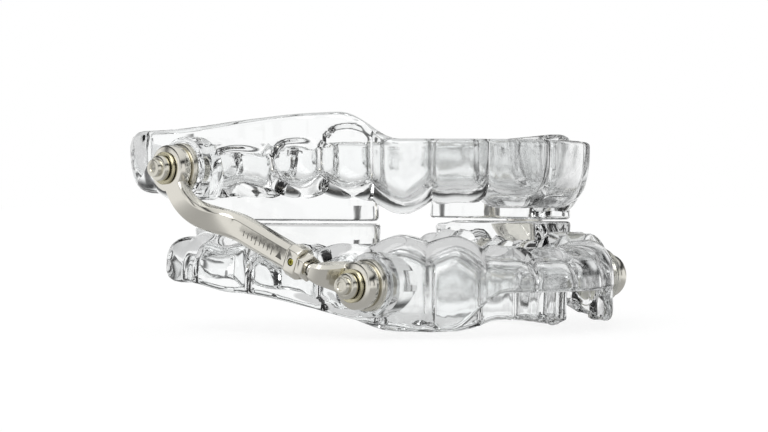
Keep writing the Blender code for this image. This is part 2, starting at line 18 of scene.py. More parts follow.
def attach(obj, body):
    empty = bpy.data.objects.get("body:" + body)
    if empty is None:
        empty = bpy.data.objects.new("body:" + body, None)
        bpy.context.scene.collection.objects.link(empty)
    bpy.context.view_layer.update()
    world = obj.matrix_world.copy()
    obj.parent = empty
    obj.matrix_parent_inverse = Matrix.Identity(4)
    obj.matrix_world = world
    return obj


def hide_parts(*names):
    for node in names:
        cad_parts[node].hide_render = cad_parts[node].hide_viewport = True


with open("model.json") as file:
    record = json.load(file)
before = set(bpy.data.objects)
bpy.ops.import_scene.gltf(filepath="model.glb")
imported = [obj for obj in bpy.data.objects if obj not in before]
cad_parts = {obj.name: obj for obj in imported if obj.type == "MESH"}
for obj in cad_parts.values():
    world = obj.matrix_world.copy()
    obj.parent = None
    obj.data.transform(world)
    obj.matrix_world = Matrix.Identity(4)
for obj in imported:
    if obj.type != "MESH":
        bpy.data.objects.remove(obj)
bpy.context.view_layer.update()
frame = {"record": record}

# %% [markdown]
# ## Working in millimetres
# Teeth and tiny screws are easier to read in millimetres, so every mesh is built at one unit a
# millimetre and shrunk to metres as its last step. The pivots are read from the frame's joints,
# so the dressed pieces sit on the same axes as the plain ones.

# %% Units and pivots
MM = 0.001
joints = {joint["name"]: joint for joint in frame["record"]["behaviour"]["joints"]}
lower_pivot = Vector(joints["right_lower_pivot"]["pos_m"]) / MM
upper_pivot = Vector(joints["upper_pivot"]["pos_m"]) / MM
arm_axis = Vector(joints["right_telescope"]["axis"]).normalized()
ARM_X = abs(joints["right_nut_turn"]["pos_m"][0]) / MM
LOWER_EYE_X = abs(lower_pivot.x)
UPPER_EYE_X = abs(upper_pivot.x)
PIVOT_BEHIND_TEETH = 35.0      # from the upper front teeth back to the upper pivots
UPPER_FRONT_Y = upper_pivot.y - PIVOT_BEHIND_TEETH
SIDES = {"right": -1.0, "left": 1.0}
print("pivots in mm:", [round(c, 2) for c in lower_pivot], [round(c, 2) for c in upper_pivot])

# %% [markdown]
# ## The camera
# The photograph looks at the patient's right side, 50 degrees round from the front, from about
# 300 mm away and almost level with the bite. That was worked out from the columns where the
# crowns meet, with textbook crown widths. A long lens keeps the near and far trays alike.

# %% Camera
VIEW_TURN = math.radians(50.0)
VIEW_DISTANCE = 300.0
VIEW_HEIGHT = 18.3
PIXELS_PER_MM = 7.2            # at the upper front teeth, in the 768 pixel wide photograph
PHOTO_WIDTH = 768
AIM_LEFT = 20.6                # how far the picture's middle lies left of the front teeth
AIM_HEIGHT = 15.8
SENSOR_WIDTH = 36.0


def make_camera():
    view = Vector((math.sin(VIEW_TURN), math.cos(VIEW_TURN), 0.0))
    rightward = Vector((math.cos(VIEW_TURN), -math.sin(VIEW_TURN), 0.0))
    front = Vector((0.0, UPPER_FRONT_Y, 0.0))
    eye = front - view * VIEW_DISTANCE + Vector((0, 0, VIEW_HEIGHT))
    aim = front - rightward * AIM_LEFT + Vector((0, 0, AIM_HEIGHT))
    data = bpy.data.cameras.new("camera")
    data.sensor_width = SENSOR_WIDTH
    data.lens = PIXELS_PER_MM * VIEW_DISTANCE / PHOTO_WIDTH * SENSOR_WIDTH
    data.clip_start = 0.01
    camera = bpy.data.objects.new("camera", data)
    camera.location = eye * MM
    camera.rotation_euler = (aim - eye).to_track_quat("-Z", "Y").to_euler()
    bpy.context.collection.objects.link(camera)
    bpy.context.scene.camera = camera
    bpy.context.scene.view_settings.view_transform = "Standard"
    print("lens", round(data.lens, 1), "mm")


make_camera()

# %% [markdown]
# ## Mesh helpers
# A piece is made as a bmesh and turned into an object. Faces that meet at a small angle are
# shaded smooth, and the sharper edges stay crisp, as they do on turned metal.

# %% From bmesh to piece
MERGE_DISTANCE = 0.0005


def object_from_bmesh(name, bm, material):
    bmesh.ops.remove_doubles(bm, verts=bm.verts, dist=MERGE_DISTANCE)
    bmesh.ops.recalc_face_normals(bm, faces=bm.faces)
    mesh = bpy.data.meshes.new(name)
    bm.to_mesh(mesh)
    bm.free()
    item = bpy.data.objects.new(name, mesh)
    bpy.context.collection.objects.link(item)
    mesh.materials.append(material)
    return item


def apply_modifiers(item):
    """Replace the item's mesh with what its modifiers make of it."""
    bpy.context.view_layer.update()
    evaluated = item.evaluated_get(bpy.context.evaluated_depsgraph_get())
    mesh = bpy.data.meshes.new_from_object(evaluated)
    item.modifiers.clear()
    item.data = mesh


def cut_or_join(item, shape, material, operation):
    """Apply one exact Boolean with a shape; the new faces get the shape's material."""
    tool = object_from_bmesh(operation.lower(), shape, material)
    modifier = item.modifiers.new(operation.lower(), "BOOLEAN")
    modifier.operation = operation
    modifier.solver = "EXACT"
    modifier.material_mode = "TRANSFER"
    modifier.object = tool
    apply_modifiers(item)
    bpy.data.objects.remove(tool, do_unlink=True)


def finish_piece(item, body, node, sharp=32.0):
    """Shrink a piece to metres and let it stand for its CAD node."""
    item.data.transform(Matrix.Diagonal((MM, MM, MM, 1.0)))
    item.data.shade_smooth()
    item.data.set_sharp_from_angle(angle=math.radians(sharp))
    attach(item, body)
    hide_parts(node)
    print(item.name, len(item.data.polygons), "faces, rides", body)


def smooth_step(value, low, high):
    part = min(max((value - low) / (high - low), 0.0), 1.0)
    return part * part * (3.0 - 2.0 * part)


def mix(a, b, share):
    return a + (b - a) * share


print("halfway through a smooth step of 4 mm:", mix(0.0, 4.0, smooth_step(0.5, 0.0, 1.0)), "mm")

# %% [markdown]
# ## The dental arch
# The crowns stand along a half ellipse. Everything on a tray is placed by its distance along
# that curve, because crown widths come from tables as lengths. Placing them by angle would
# squeeze the molars, where the ellipse runs nearly straight.

# %% Arch sizes
UPPER_TEETH = [8.5, 6.8, 7.8, 7.0, 6.9, 10.2, 9.0]    # crown widths from the midline back
LOWER_TEETH = [5.6, 6.2, 7.2, 7.2, 7.2, 10.8, 9.4]
UPPER_ARCH_HALF_WIDTH, UPPER_ARCH_DEPTH = 26.3, 47.9
LOWER_ARCH_HALF_WIDTH, LOWER_ARCH_DEPTH = 25.3, 45.5
ADVANCEMENT = 4.5              # how far the lower front teeth are held ahead of the upper ones
print("half an arch of crowns:", round(sum(UPPER_TEETH), 1), "and", round(sum(LOWER_TEETH), 1), "mm")

# %% [markdown]
# ## Measuring along an ellipse
# The length of an ellipse has no plain formula. The curve is cut into 400 short straight steps
# and their lengths are added up once. A place on the arch is then found by halving the range of
# steps that it may lie in. The arch also knows which tooth stands at a place, so sizes can be
# given tooth by tooth and blended smoothly between them.

# %% Arch

class Arch:
    """A half ellipse measured along its length, with the teeth that stand on it."""

    SAMPLES = 400

    def __init__(self, half_width, depth, front_y, teeth):
        self.half_width = half_width
        self.depth = depth
        self.front_y = front_y
        self.edges = [0.0]
        for width in teeth:
            self.edges.append(self.edges[-1] + width)
        self.back = self.edges[-1]
        self.lengths = [0.0]
        step = math.pi / 2 / self.SAMPLES
        for index in range(1, self.SAMPLES + 1):
            before = self.ellipse((index - 1) * step)
            after = self.ellipse(index * step)
            self.lengths.append(self.lengths[-1] + (after - before).length)

    def ellipse(self, angle):
        across = self.half_width * math.sin(angle)
        along = self.front_y + self.depth * (1.0 - math.cos(angle))
        return Vector((across, along, 0.0))

    def angle_at(self, distance):
        low, high = 0, self.SAMPLES
        while high - low > 1:
            middle = (low + high) // 2
            if self.lengths[middle] > distance:
                high = middle
            else:
                low = middle
        span = self.lengths[high] - self.lengths[low]
        share = (distance - self.lengths[low]) / span
        return (low + min(share, 1.0)) * math.pi / 2 / self.SAMPLES

    def frame_at(self, s):
        """Point, outward normal and direction of growing s; s is negative on the right."""
        side = -1.0 if s < 0 else 1.0
        distance = abs(s)
        beyond = max(distance - self.lengths[-1], 0.0)
        angle = self.angle_at(min(distance, self.lengths[-1]))
        point = self.ellipse(angle)
        tangent = Vector((self.half_width * math.cos(angle), self.depth * math.sin(angle), 0.0))
        tangent.normalize()
        normal = Vector((tangent.y, -tangent.x, 0.0))
        point.y += beyond
        point.x *= side
        normal.x *= side
        return point, normal, Vector((tangent.x, tangent.y * side, 0.0))

    def tooth_at(self, s):
        """The tooth's index at s, and how far s is from its middle, as a share of half its width."""
        distance = min(abs(s), self.back - 0.001)
        index = 0
        while distance >= self.edges[index + 1]:
            index += 1
        middle = (self.edges[index] + self.edges[index + 1]) / 2
        half = (self.edges[index + 1] - self.edges[index]) / 2
        return index, (distance - middle) / half

    def value_at(self, s, values):
        """A value given for each tooth's middle, blended smoothly between neighbours."""
        distance = abs(s)
        middles = [(a + b) / 2 for a, b in zip(self.edges, self.edges[1:])]
        if distance <= middles[0]:
            return values[0]
        for index in range(1, len(middles)):
            if distance <= middles[index]:
                share = smooth_step(distance, middles[index - 1], middles[index])
                return mix(values[index - 1], values[index], share)
        return values[-1]


upper_arch = Arch(UPPER_ARCH_HALF_WIDTH, UPPER_ARCH_DEPTH, UPPER_FRONT_Y, UPPER_TEETH)
lower_arch = Arch(LOWER_ARCH_HALF_WIDTH, LOWER_ARCH_DEPTH, UPPER_FRONT_Y - ADVANCEMENT, LOWER_TEETH)
print("arch lengths in mm:", round(upper_arch.back, 1), round(lower_arch.back, 1))

# %% [markdown]
# ## A solid that follows the arch
# A tray is a thick band bent round the arch. One ring of points runs along the cheek side,
# round an end, back along the tongue side and round the other end. Stacking such rings at
# different heights gives the whole outside of a tray in one closed mesh, and a second, smaller
# stack gives the hollow for the teeth.

# %% Band builder
STATIONS_PER_TOOTH = 10
END_STEPS = 14


def tooth_stations(arch, reach):
    half = [0.0]
    for low, high in zip(arch.edges, arch.edges[1:]):
        for step in range(1, STATIONS_PER_TOOTH + 1):
            half.append(mix(low, high, step / STATIONS_PER_TOOTH))
    half += [arch.back + reach / 2, arch.back + reach]
    return [-s for s in reversed(half[1:])] + half


def arch_ring(arch, stations):
    """Places on a ring: distance along the arch, side (1 cheek, -1 tongue), point, direction out."""
    cheek, tongue = [], []
    for s in stations:
        point, normal, _ = arch.frame_at(s)
        cheek.append((s, 1.0, point, normal))
        tongue.append((s, -1.0, point, -normal))
    ends = []
    for s, sign in ((stations[-1], 1.0), (stations[0], -1.0)):
        point, normal, tangent = arch.frame_at(s)
        arc = []
        for step in range(1, END_STEPS):
            turn = math.pi * step / END_STEPS
            side = sign * math.cos(turn)
            arc.append((s, side, point, normal * side + tangent * sign * math.sin(turn)))
        ends.append(arc)
    return cheek + ends[0] + tongue[::-1] + ends[1]


def join_rows(bm, rows):
    """Make the side faces between each ring of points and the next."""
    for low, high in zip(rows, rows[1:]):
        for index in range(len(low)):
            following = (index + 1) % len(low)
            bm.faces.new((low[index], low[following], high[following], high[index]))


def band_solid(arch, stations, levels):
    """Stack one ring for each level; a level gives distance from the arch and height at a place."""
    ring = arch_ring(arch, stations)
    bm = bmesh.new()
    rows = []
    for level in levels:
        row = []
        for s, side, point, direction in ring:
            distance, height = level(s, side)
            row.append(bm.verts.new(point + direction * distance + Vector((0, 0, height))))
        rows.append(row)
    join_rows(bm, rows)
    places = len(stations)
    first_back = places + END_STEPS - 1
    for row in (rows[0], rows[-1]):
        cheek = row[:places]
        tongue = row[first_back:first_back + places][::-1]
        for index in range(places - 1):
            bm.faces.new((cheek[index], cheek[index + 1], tongue[index + 1], tongue[index]))
        bm.faces.new([cheek[-1]] + row[places:first_back] + [tongue[-1]])
        bm.faces.new([tongue[0]] + row[first_back + places:] + [cheek[0]])
    return bm


print("ring of", len(arch_ring(upper_arch, tooth_stations(upper_arch, 2.0))), "points")

# %% [markdown]
# ## Colours and nodes
# Colours are written as the eye knows them, as hex codes, and one function turns them to the
# linear values that the renderer adds up. A second function adds a node with its settings
# and links, so that each material below reads as a short list of what it is made of.

# %% Colour and node helpers
def linear(code):
    channels = [int(code[place:place + 2], 16) / 255 for place in (1, 3, 5)]
    straight = [c / 12.92 if c <= 0.04045 else ((c + 0.055) / 1.055) ** 2.4 for c in channels]
    return (*straight, 1.0)


def add_node(tree, kind, inputs=(), **settings):
    node = tree.nodes.new(kind)
    for name, value in settings.items():
        setattr(node, name, value)
    for socket, value in dict(inputs).items():
        if isinstance(value, bpy.types.NodeSocket):
            tree.links.new(value, node.inputs[socket])
        else:
            node.inputs[socket].default_value = value
    return node


def make_uneven(tree, shader, size_mm, detail, strength, depth_mm):
    """Tilt the surface by noise of the given size and depth, and give back the noise."""
    place = add_node(tree, "ShaderNodeTexCoord")
    noise = add_node(tree, "ShaderNodeTexNoise", {
        "Vector": place.outputs["Object"], "Scale": 1 / (size_mm * MM), "Detail": detail})
    bump = add_node(tree, "ShaderNodeBump", {
        "Height": noise.outputs["Fac"], "Strength": strength, "Distance": depth_mm * MM})
    tree.links.new(bump.outputs["Normal"], shader.inputs["Normal"])
    return noise.outputs["Fac"]


def new_material(name, **sockets):
    """A material whose main shader has the given plain values."""
    material = bpy.data.materials.new(name)
    material.use_nodes = True
    shader = material.node_tree.nodes["Principled BSDF"]
    for socket, value in sockets.items():
        shader.inputs[socket.replace("_", " ")].default_value = value
    return material, material.node_tree, shader


print("mid grey #808080 is", round(linear("#808080")[0], 3), "to the renderer")

# %% [markdown]
# ## Clear acrylic, polished outside
# The trays are cured clear dental acrylic, polished on a felt wheel. It bends light like other
# acrylics, with an index of 1.49, and it is almost colourless. Polishing by hand leaves waves
# about 2 mm long that are far too shallow to feel, but they make the reflections swim a little.
# A plain see-through shader would be quicker, but only bent light draws a clear edge.

# %% Polished acrylic
def acrylic_polished():
    material, tree, shader = new_material(
        "clear_acrylic_polished", Base_Color=linear("#FBFCFC"), IOR=1.49,
        Roughness=0.03, Transmission_Weight=1.0)
    make_uneven(tree, shader, 2.0, 1.0, 0.5, 0.06)
    return material


polished_acrylic = acrylic_polished()
print(polished_acrylic.name)

# %% [markdown]
# ## The same acrylic, cast against the model
# The inner walls are cast against a plaster model of the teeth and can't be polished without
# losing their fit. They keep the fine grain of the plaster, so they scatter light and the
# front crowns look satin through the clear plastic. Towards the borders the inside is polished
# too, for comfort, so the roughness falls off 10 mm above and below the bite. Behind the
# canines the photograph looks clearer, so the roughness falls off there as well.

# %% Cast acrylic
CAST_ROUGHNESS = (0.09, 0.2)
BORDER_HEIGHTS, BORDER_SHARE = (9.6, 11.6), 0.25    # mm from the bite plane, and what is left there
CLEARER_FROM, CLEARER_SHARE = (9.0, 16.0), 0.35     # mm behind the upper front teeth
BITE_PLANE_Z = 15.0            # where the upper and lower bite pads meet


def acrylic_cast():
    material, tree, shader = new_material(
        "clear_acrylic_cast_on_plaster", Base_Color=linear("#FCFDFD"), IOR=1.49,
        Transmission_Weight=1.0)
    place = add_node(tree, "ShaderNodeTexCoord")
    grain = add_node(tree, "ShaderNodeTexNoise", {
        "Vector": place.outputs["Object"], "Scale": 1 / (0.5 * MM), "Detail": 3.0})
    rough = add_node(tree, "ShaderNodeMapRange", {
        "Value": grain.outputs["Fac"], "From Min": 0.3, "From Max": 0.7,
        "To Min": CAST_ROUGHNESS[0], "To Max": CAST_ROUGHNESS[1]})
    split = add_node(tree, "ShaderNodeSeparateXYZ", {0: place.outputs["Object"]})
    from_bite = add_node(tree, "ShaderNodeMath", {
        0: split.outputs["Z"], 1: BITE_PLANE_Z * MM}, operation="SUBTRACT")
    apart = add_node(tree, "ShaderNodeMath", {0: from_bite.outputs[0]}, operation="ABSOLUTE")
    border = add_node(tree, "ShaderNodeMapRange", {
        "Value": apart.outputs[0], "From Min": BORDER_HEIGHTS[0] * MM,
        "From Max": BORDER_HEIGHTS[1] * MM, "To Min": 1.0, "To Max": BORDER_SHARE})
    back = add_node(tree, "ShaderNodeMapRange", {
        "Value": split.outputs["Y"], "From Min": (UPPER_FRONT_Y + CLEARER_FROM[0]) * MM,
        "From Max": (UPPER_FRONT_Y + CLEARER_FROM[1]) * MM, "To Min": 1.0, "To Max": CLEARER_SHARE})
    polished = add_node(tree, "ShaderNodeMath", {
        0: border.outputs["Result"], 1: back.outputs["Result"]}, operation="MULTIPLY")
    finish = add_node(tree, "ShaderNodeMath", {
        0: rough.outputs["Result"], 1: polished.outputs[0]}, operation="MULTIPLY")
    tree.links.new(finish.outputs[0], shader.inputs["Roughness"])
    make_uneven(tree, shader, 3.0, 1.0, 0.6, 0.12)
    return material


cast_acrylic = acrylic_cast()
print(cast_acrylic.name)

# %% [markdown]
# ## Polished steel
# The arms and screws are stainless steel, turned and then tumbled bright. The eye sees a warm
# grey. Tumbling leaves an unevenness a few tenths of a millimetre long, with slightly duller
# patches, so the roughness wanders between two low values.

# %% Polished steel
def bright_steel(name, colour, roughness, grain_mm):
    material, tree, shader = new_material(name, Base_Color=linear(colour), Metallic=1.0)
    grain = make_uneven(tree, shader, grain_mm, 4.0, 0.25, 0.01)
    rough = add_node(tree, "ShaderNodeMapRange", {
        "Value": grain, "From Min": 0.3, "From Max": 0.7,
        "To Min": roughness * 0.7, "To Max": roughness * 1.4})
    tree.links.new(rough.outputs["Result"], shader.inputs["Roughness"])
    return material


steel = bright_steel("stainless_steel_tumbled_bright", "#DEDBD2", 0.15, 0.5)
turned_steel = bright_steel("stainless_steel_turned", "#D6D3C8", 0.18, 0.3)
print(steel.name, turned_steel.name)

# %% [markdown]
# ## Washers, lock screw and marks
# Each screw head sits on a thin washer of straw-tinted steel, which shows as a yellowish ring.
# The tiny lock screw has an olive tint from its coating. The marks on the arm are burnt in by a
# laser, which leaves a dull dark oxide. The bores and sockets get a duller steel, because no
# polishing wheel reaches into them, and its darker colour is painted shade inside them.

# %% Small finishes
washer_steel = bright_steel("steel_washer_straw_tinted", "#C8C2A8", 0.24, 0.3)
lock_steel = bright_steel("steel_lock_screw_coated", "#A8A352", 0.3, 0.2)
mark_oxide, _, _ = new_material("laser_mark_oxide", Base_Color=linear("#5C5A55"), Roughness=0.6)
# Painted shade: this steel is much darker than the bright steel, to shade the insides of the bores.
socket_steel_painted_shade = bright_steel("steel_socket_painted_shade", "#8C8878", 0.35, 0.2)
print(washer_steel.name, lock_steel.name, mark_oxide.name, socket_steel_painted_shade.name)

# %% [markdown]
# ## What shapes a tray
# A tray is thicker at the molars than at the front, its rim rises high on the upper cheek side
# and dips in a lobe under each lower pivot, and its biting side follows every crown. Each of
# these is a function of the distance along the arch, so the outer and inner walls share them.

# %% Tray sizes
BITE_GAP = 0.3
TRAY_WALL = 1.7
OCCLUSAL_WALL = 2.2            # plastic over the chewing surfaces
FRONT_HALF_DEPTH, CANINE_HALF_DEPTH, MOLAR_HALF_DEPTH = 4.55, 4.7, 5.6
UPPER_BITING_Z = [16.8, 17.6, 15.9, 17.6, 17.9, 17.9, 17.8]
LOWER_BITING_Z = [11.7, 11.9, 13.4, 13.5, 12.6, 12.4, 14.0]
FRONT_EDGE_POWER, MOLAR_EDGE_POWER = 0.64, 0.45
OUTER_RIM_ROUND, INNER_RIM_ROUND = (0.7, 0.95), (0.4, 0.55)    # at the front and at the sides
TRAY_BACK_REACH, HOLLOW_BACK_REACH = 1.7, 0.6    # plastic and hollow behind the last tooth
UPPER_END_DROP, LOWER_END_DROP = 5.2, 3.2    # how far the rim rounds off at the back end
UPPER_END_LIFT, LOWER_END_LIFT = 0.5, 1.5    # and how far the biting side does
UPPER_FRONT_RIM, UPPER_TONGUE_RIM = 26.3, 26.0
UPPER_FLANGE = {-1.0: (29.98, 27.9), 1.0: (27.9, 27.2)}    # right and left, highest and at the back
FLANGE_RISE_S, FLANGE_FALL_S = (19.3, 26.8), (27.0, 56.0)
LOWER_FRONT_RIM, LOBE_RIM, LOWER_BACK_RIM = 5.6, 0.6, 5.2
LOBE_DIP_S, LOBE_END_S = (9.5, 16.0), (17.5, 46.0)
TONGUE_RIM, TONGUE_DIP_S = (1.6, 0.0), (8.0, 16.0)
RIGHT_TONGUE_RIM, RIGHT_TONGUE_CUT_S = 5.6, (24.0, 44.0)
RIGHT_BACK_LIFT, RIGHT_BACK_LENGTH = 1.2, 8.0
SIDES_FROM_S = (16.0, 24.0)    # where the front teeth's thin wall turns to the side teeth's
print("tray wall", TRAY_WALL, "mm, chewing side", OCCLUSAL_WALL, "mm")

# %% [markdown]
# ## Width and rims along the arch
# A technician trims the rims with a burr, high over the right upper molars and down round the
# lower bosses. They could be drawn as curves by hand. Smooth steps between named places are
# used instead, because each number can be read from the photograph and changed alone.

# %% Width and rims

def half_depth(arch, s):
    depths = [FRONT_HALF_DEPTH, FRONT_HALF_DEPTH, CANINE_HALF_DEPTH, CANINE_HALF_DEPTH + 0.3,
              MOLAR_HALF_DEPTH - 0.3, MOLAR_HALF_DEPTH, MOLAR_HALF_DEPTH]
    return arch.value_at(s, depths)


def upper_rim(s, side):
    distance = abs(s)
    side_top, back_top = UPPER_FLANGE[-1.0 if s < 0 else 1.0]
    high = mix(side_top, back_top, smooth_step(distance, *FLANGE_FALL_S))
    cheek = mix(UPPER_FRONT_RIM, high, smooth_step(distance, *FLANGE_RISE_S))
    return mix(UPPER_TONGUE_RIM, cheek, smooth_step(side, -1.0, 1.0))


def lower_rim(s, side):
    distance = abs(s)
    lobe = mix(LOWER_FRONT_RIM, LOBE_RIM, smooth_step(distance, *LOBE_DIP_S))
    cheek = mix(lobe, LOWER_BACK_RIM, smooth_step(distance, *LOBE_END_S))
    tongue = mix(*TONGUE_RIM, smooth_step(distance, *TONGUE_DIP_S))
    lift = 0.0
    if s < 0:
        tongue = mix(tongue, RIGHT_TONGUE_RIM, smooth_step(distance, *RIGHT_TONGUE_CUT_S))
        back = lower_arch.back
        lift = RIGHT_BACK_LIFT * smooth_step(distance, back - RIGHT_BACK_LENGTH, back)
    return mix(tongue, cheek, smooth_step(side, -0.9, 1.0)) + lift


print("right upper rim over the first molar:", round(upper_rim(-40.0, 1.0), 2), "mm")

# %% [markdown]
# ## Crowns
# Outside, the front crowns swell between narrow grooves, and the cheek side over the molars is
# one smooth thick wall. Inside, every tooth has left its full print: an arch-shaped gum line at
# one end, and a biting edge, a point or cusps at the other. Fading the crown's swelling out past
# the gum line is what makes the rounded tops that show through the clear wall.

# %% Crown shapes
GROOVE_DEPTH = 0.85
SIDE_GROOVE_DEPTH, SIDE_GROOVES_S = 0.28, (17.0, 24.0)
PRINT_DEPTH, GUM_FADE = 1.0, (-0.3, 0.8)
THIN_FRONT, THIN_FRONT_S = 0.3, (16.0, 22.0)    # how much thinner the wall is over the front teeth
NOTCH = 1.25                   # how far the biting side falls back between two teeth
OUTER_NOTCH_SHARE, INNER_NOTCH_SHARE = 0.8, 1.3    # of that, on the outer and inner wall
FISSURE = 0.5                  # how much the chewing side falls in at a molar's middle
GUM_ARC = 3.0                  # how far the gum line dips between two teeth
UPPER_GUM_Z = [31.0, 31.0, 30.0, 28.3, 26.4, 25.5, 25.5]    # above the rim where the front is full
LOWER_GUM_Z = [-1.0, -1.0, -1.0, 0.5, 2.6, 3.2, 3.4]


def groove(arch, s, side):
    """How much less than its fullest the outside stands out at s."""
    index, across = arch.tooth_at(s)
    share = smooth_step(abs(s), *SIDE_GROOVES_S) * smooth_step(side, -1.0, 0.0)
    depth = mix(GROOVE_DEPTH, SIDE_GROOVE_DEPTH, share)
    if index == 6 and across > 0:
        return 0.0
    return -depth * abs(across) ** 3.0


def crown_tip(arch, s):
    """How far the biting side falls back from the tooth's tip at s."""
    index, across = arch.tooth_at(s)
    q = abs(across)
    if index < 2:
        return NOTCH * q ** 5
    if index < 5:
        return NOTCH * q ** 1.5
    return NOTCH * q ** 6 + FISSURE * math.cos(math.pi * q / 2) ** 4


def gum_line(arch, s, opens_up):
    _, across = arch.tooth_at(s)
    arc = GUM_ARC * abs(across) ** 3
    if opens_up:
        return arch.value_at(s, UPPER_GUM_Z) - arc
    return arch.value_at(s, LOWER_GUM_Z) + arc


print("gum line at the first upper premolar:", round(gum_line(upper_arch, 26.6, True), 2), "mm")

# %% [markdown]
# ## The two walls
# Each wall runs from the rim to the biting side. Its cross-section is part of a superellipse, a
# curve between an ellipse and a rectangle: nearly a wedge at the incisors and nearly flat-topped
# at the molars, as the real crowns are.

# %% Levels for the walls
OUTER_SHARES = [0.0, 0.03, 0.08, 0.15, 0.22, 0.3, 0.38, 0.46, 0.54, 0.62, 0.7, 0.77, 0.83, 0.88,
                0.92, 0.95, 0.972, 0.988]
INNER_SHARES = [0.0, 0.012, 0.03, 0.055, 0.08, 0.105, 0.13, 0.155, 0.18, 0.205, 0.23, 0.255,
                0.28, 0.305, 0.33, 0.355, 0.38, 0.405, 0.43, 0.455, 0.48, 0.51, 0.54, 0.58, 0.62,
                0.66, 0.7, 0.74, 0.78, 0.82, 0.855, 0.885, 0.91, 0.93, 0.95, 0.967, 0.982]


def narrowing(arch, s, share):
    """How much of its full width the tray keeps at a share of the way from rim to biting side."""
    power = arch.value_at(s, [FRONT_EDGE_POWER] * 3 + [MOLAR_EDGE_POWER] * 4)
    return math.cos(math.asin(min(share, 0.9999) ** (1 / 0.75))) ** power


def rim_round(s, front_and_side):
    return mix(*front_and_side, smooth_step(abs(s), *SIDES_FROM_S))


print(len(OUTER_SHARES), "outer and", len(INNER_SHARES), "inner levels")

# %% [markdown]
# ## The outer wall
# The rim of a real tray is rounded so that it doesn't cut the gum. The first levels go a
# quarter of the way round a circle, and the others follow the crowns to their tips. A bevel
# could round the rim afterwards, but it would also round the grooves between the crowns.

# %% Outer levels
def outer_levels(arch, rim, biting, opens_up):
    upward = 1.0 if opens_up else -1.0
    end_drop = UPPER_END_DROP if opens_up else LOWER_END_DROP
    end_lift = UPPER_END_LIFT if opens_up else LOWER_END_LIFT

    def radius(s, side):
        return half_depth(arch, s) + groove(arch, s, side)

    def edge(s, side):
        return rim(s, side) - upward * end_drop * (1 - abs(side))

    def wall(share):
        def place(s, side):
            width = narrowing(arch, s, share)
            lift = crown_tip(arch, s) * OUTER_NOTCH_SHARE + end_lift * (1 - abs(side)) * width
            tip = arch.value_at(s, biting) + upward * lift
            low_edge = edge(s, side) - upward * rim_round(s, OUTER_RIM_ROUND)
            return radius(s, side) * width, mix(low_edge, tip, share)
        return place

    def rounding(turn):
        def place(s, side):
            inset = rim_round(s, OUTER_RIM_ROUND) * (1 - math.cos(turn))
            drop = rim_round(s, OUTER_RIM_ROUND) * (1 - math.sin(turn))
            return radius(s, side) - inset, edge(s, side) - upward * drop
        return place

    def rim_face(s, side):
        return radius(s, side) - TRAY_WALL - 0.4, edge(s, side)

    turns = [math.radians(turn) for turn in (90, 72, 54, 36, 18)]
    return [rim_face] + [rounding(turn) for turn in turns] + [wall(share) for share in OUTER_SHARES]


print("outer rings:", len(outer_levels(upper_arch, upper_rim, UPPER_BITING_Z, True)))

# %% [markdown]
# ## The hollow
# The inside is the print of the teeth, and it flares a little at the rim. It is a smaller
# stack, with one ring past the rim so that the cut leaves no skin there. Moving the outer wall
# inwards would be quicker, but it would lose the crowns that show through.

# %% Hollow levels
def hollow_levels(arch, rim, biting, opens_up):
    upward = 1.0 if opens_up else -1.0

    def radius(s, side, height):
        _, across = arch.tooth_at(s)
        past_gum = upward * (height - gum_line(arch, s, opens_up))
        crown = math.sqrt(max(1.0 - abs(across) ** 3.5, 0.0)) * smooth_step(-past_gum, *GUM_FADE)
        front = 1 - smooth_step(abs(s), *THIN_FRONT_S)
        size = rim_round(s, INNER_RIM_ROUND)
        to_round = max(size - max(upward * (rim(s, side) - height), 0.0), 0.0)
        flare = size - math.sqrt(size**2 - to_round**2)
        inside = half_depth(arch, s) - TRAY_WALL - PRINT_DEPTH * (1 - crown)
        return inside + THIN_FRONT * front + flare

    def wall(share):
        def place(s, side):
            rise = OCCLUSAL_WALL + INNER_NOTCH_SHARE * crown_tip(arch, s)
            tip = arch.value_at(s, biting) + upward * rise
            height = mix(rim(s, side), tip, share)
            return radius(s, side, height) * narrowing(arch, s, share), height
        return place

    def past_rim(s, side):
        height = rim(s, side) + upward
        return radius(s, side, height), height

    def rim_edge(s, side):
        height = rim(s, side) + upward * 0.01
        return radius(s, side, height), height

    return [past_rim, rim_edge] + [wall(share) for share in INNER_SHARES[1:]]


print("inner rings:", len(hollow_levels(upper_arch, upper_rim, UPPER_BITING_Z, True)))

# %% [markdown]
# ## Turned shapes
# Bosses, bases, washers, screw heads and eyes are all round about an axis that runs across the
# jaw. One outline is spun about that axis. A closed outline gives a ring with a bore, and an
# open one that starts and ends on the axis gives a solid pin.

# %% Spin an outline
TURN_STEPS = 72
EDGE_ROUND = 0.3               # how far the edges of turned steel are rounded


def rounded_edge(out, radius, size, inward):
    """Three points round the edge of a turned piece, from its flat face to its rim."""
    dip = 0.3 * size
    return [(out, radius - size), (out + inward * dip, radius - dip), (out + inward * size, radius)]


def spun(points, centre, axis, steps, closed):
    bm = bmesh.new()
    verts = [bm.verts.new(point) for point in points]
    follow = verts[1:] + verts[:1] if closed else verts[1:]
    edges = [bm.edges.new((a, b)) for a, b in zip(verts, follow)]
    bmesh.ops.spin(bm, geom=verts + edges, cent=centre, axis=axis, angle=math.tau, steps=steps,
                   use_merge=True)
    return bm


def turned(side, profile, centre):
    """Spin (distance out along X, radius) points; an outline that starts on the axis is open."""
    points = [(side * out, centre.y, centre.z + radius) for out, radius in profile]
    return spun(points, (0, centre.y, centre.z), (1, 0, 0), TURN_STEPS, profile[0][1] > 0)


print("round pieces have", TURN_STEPS, "faces round")

# %% [markdown]
# ## Bite pads
# Flat pads of the same acrylic keep the back teeth apart, and their faces meet in a level
# plane. They are ground on a wheel, so their edges are a little round. A box would be simpler,
# but it would stick out of the curved wall, so each pad is a short band along the arch.

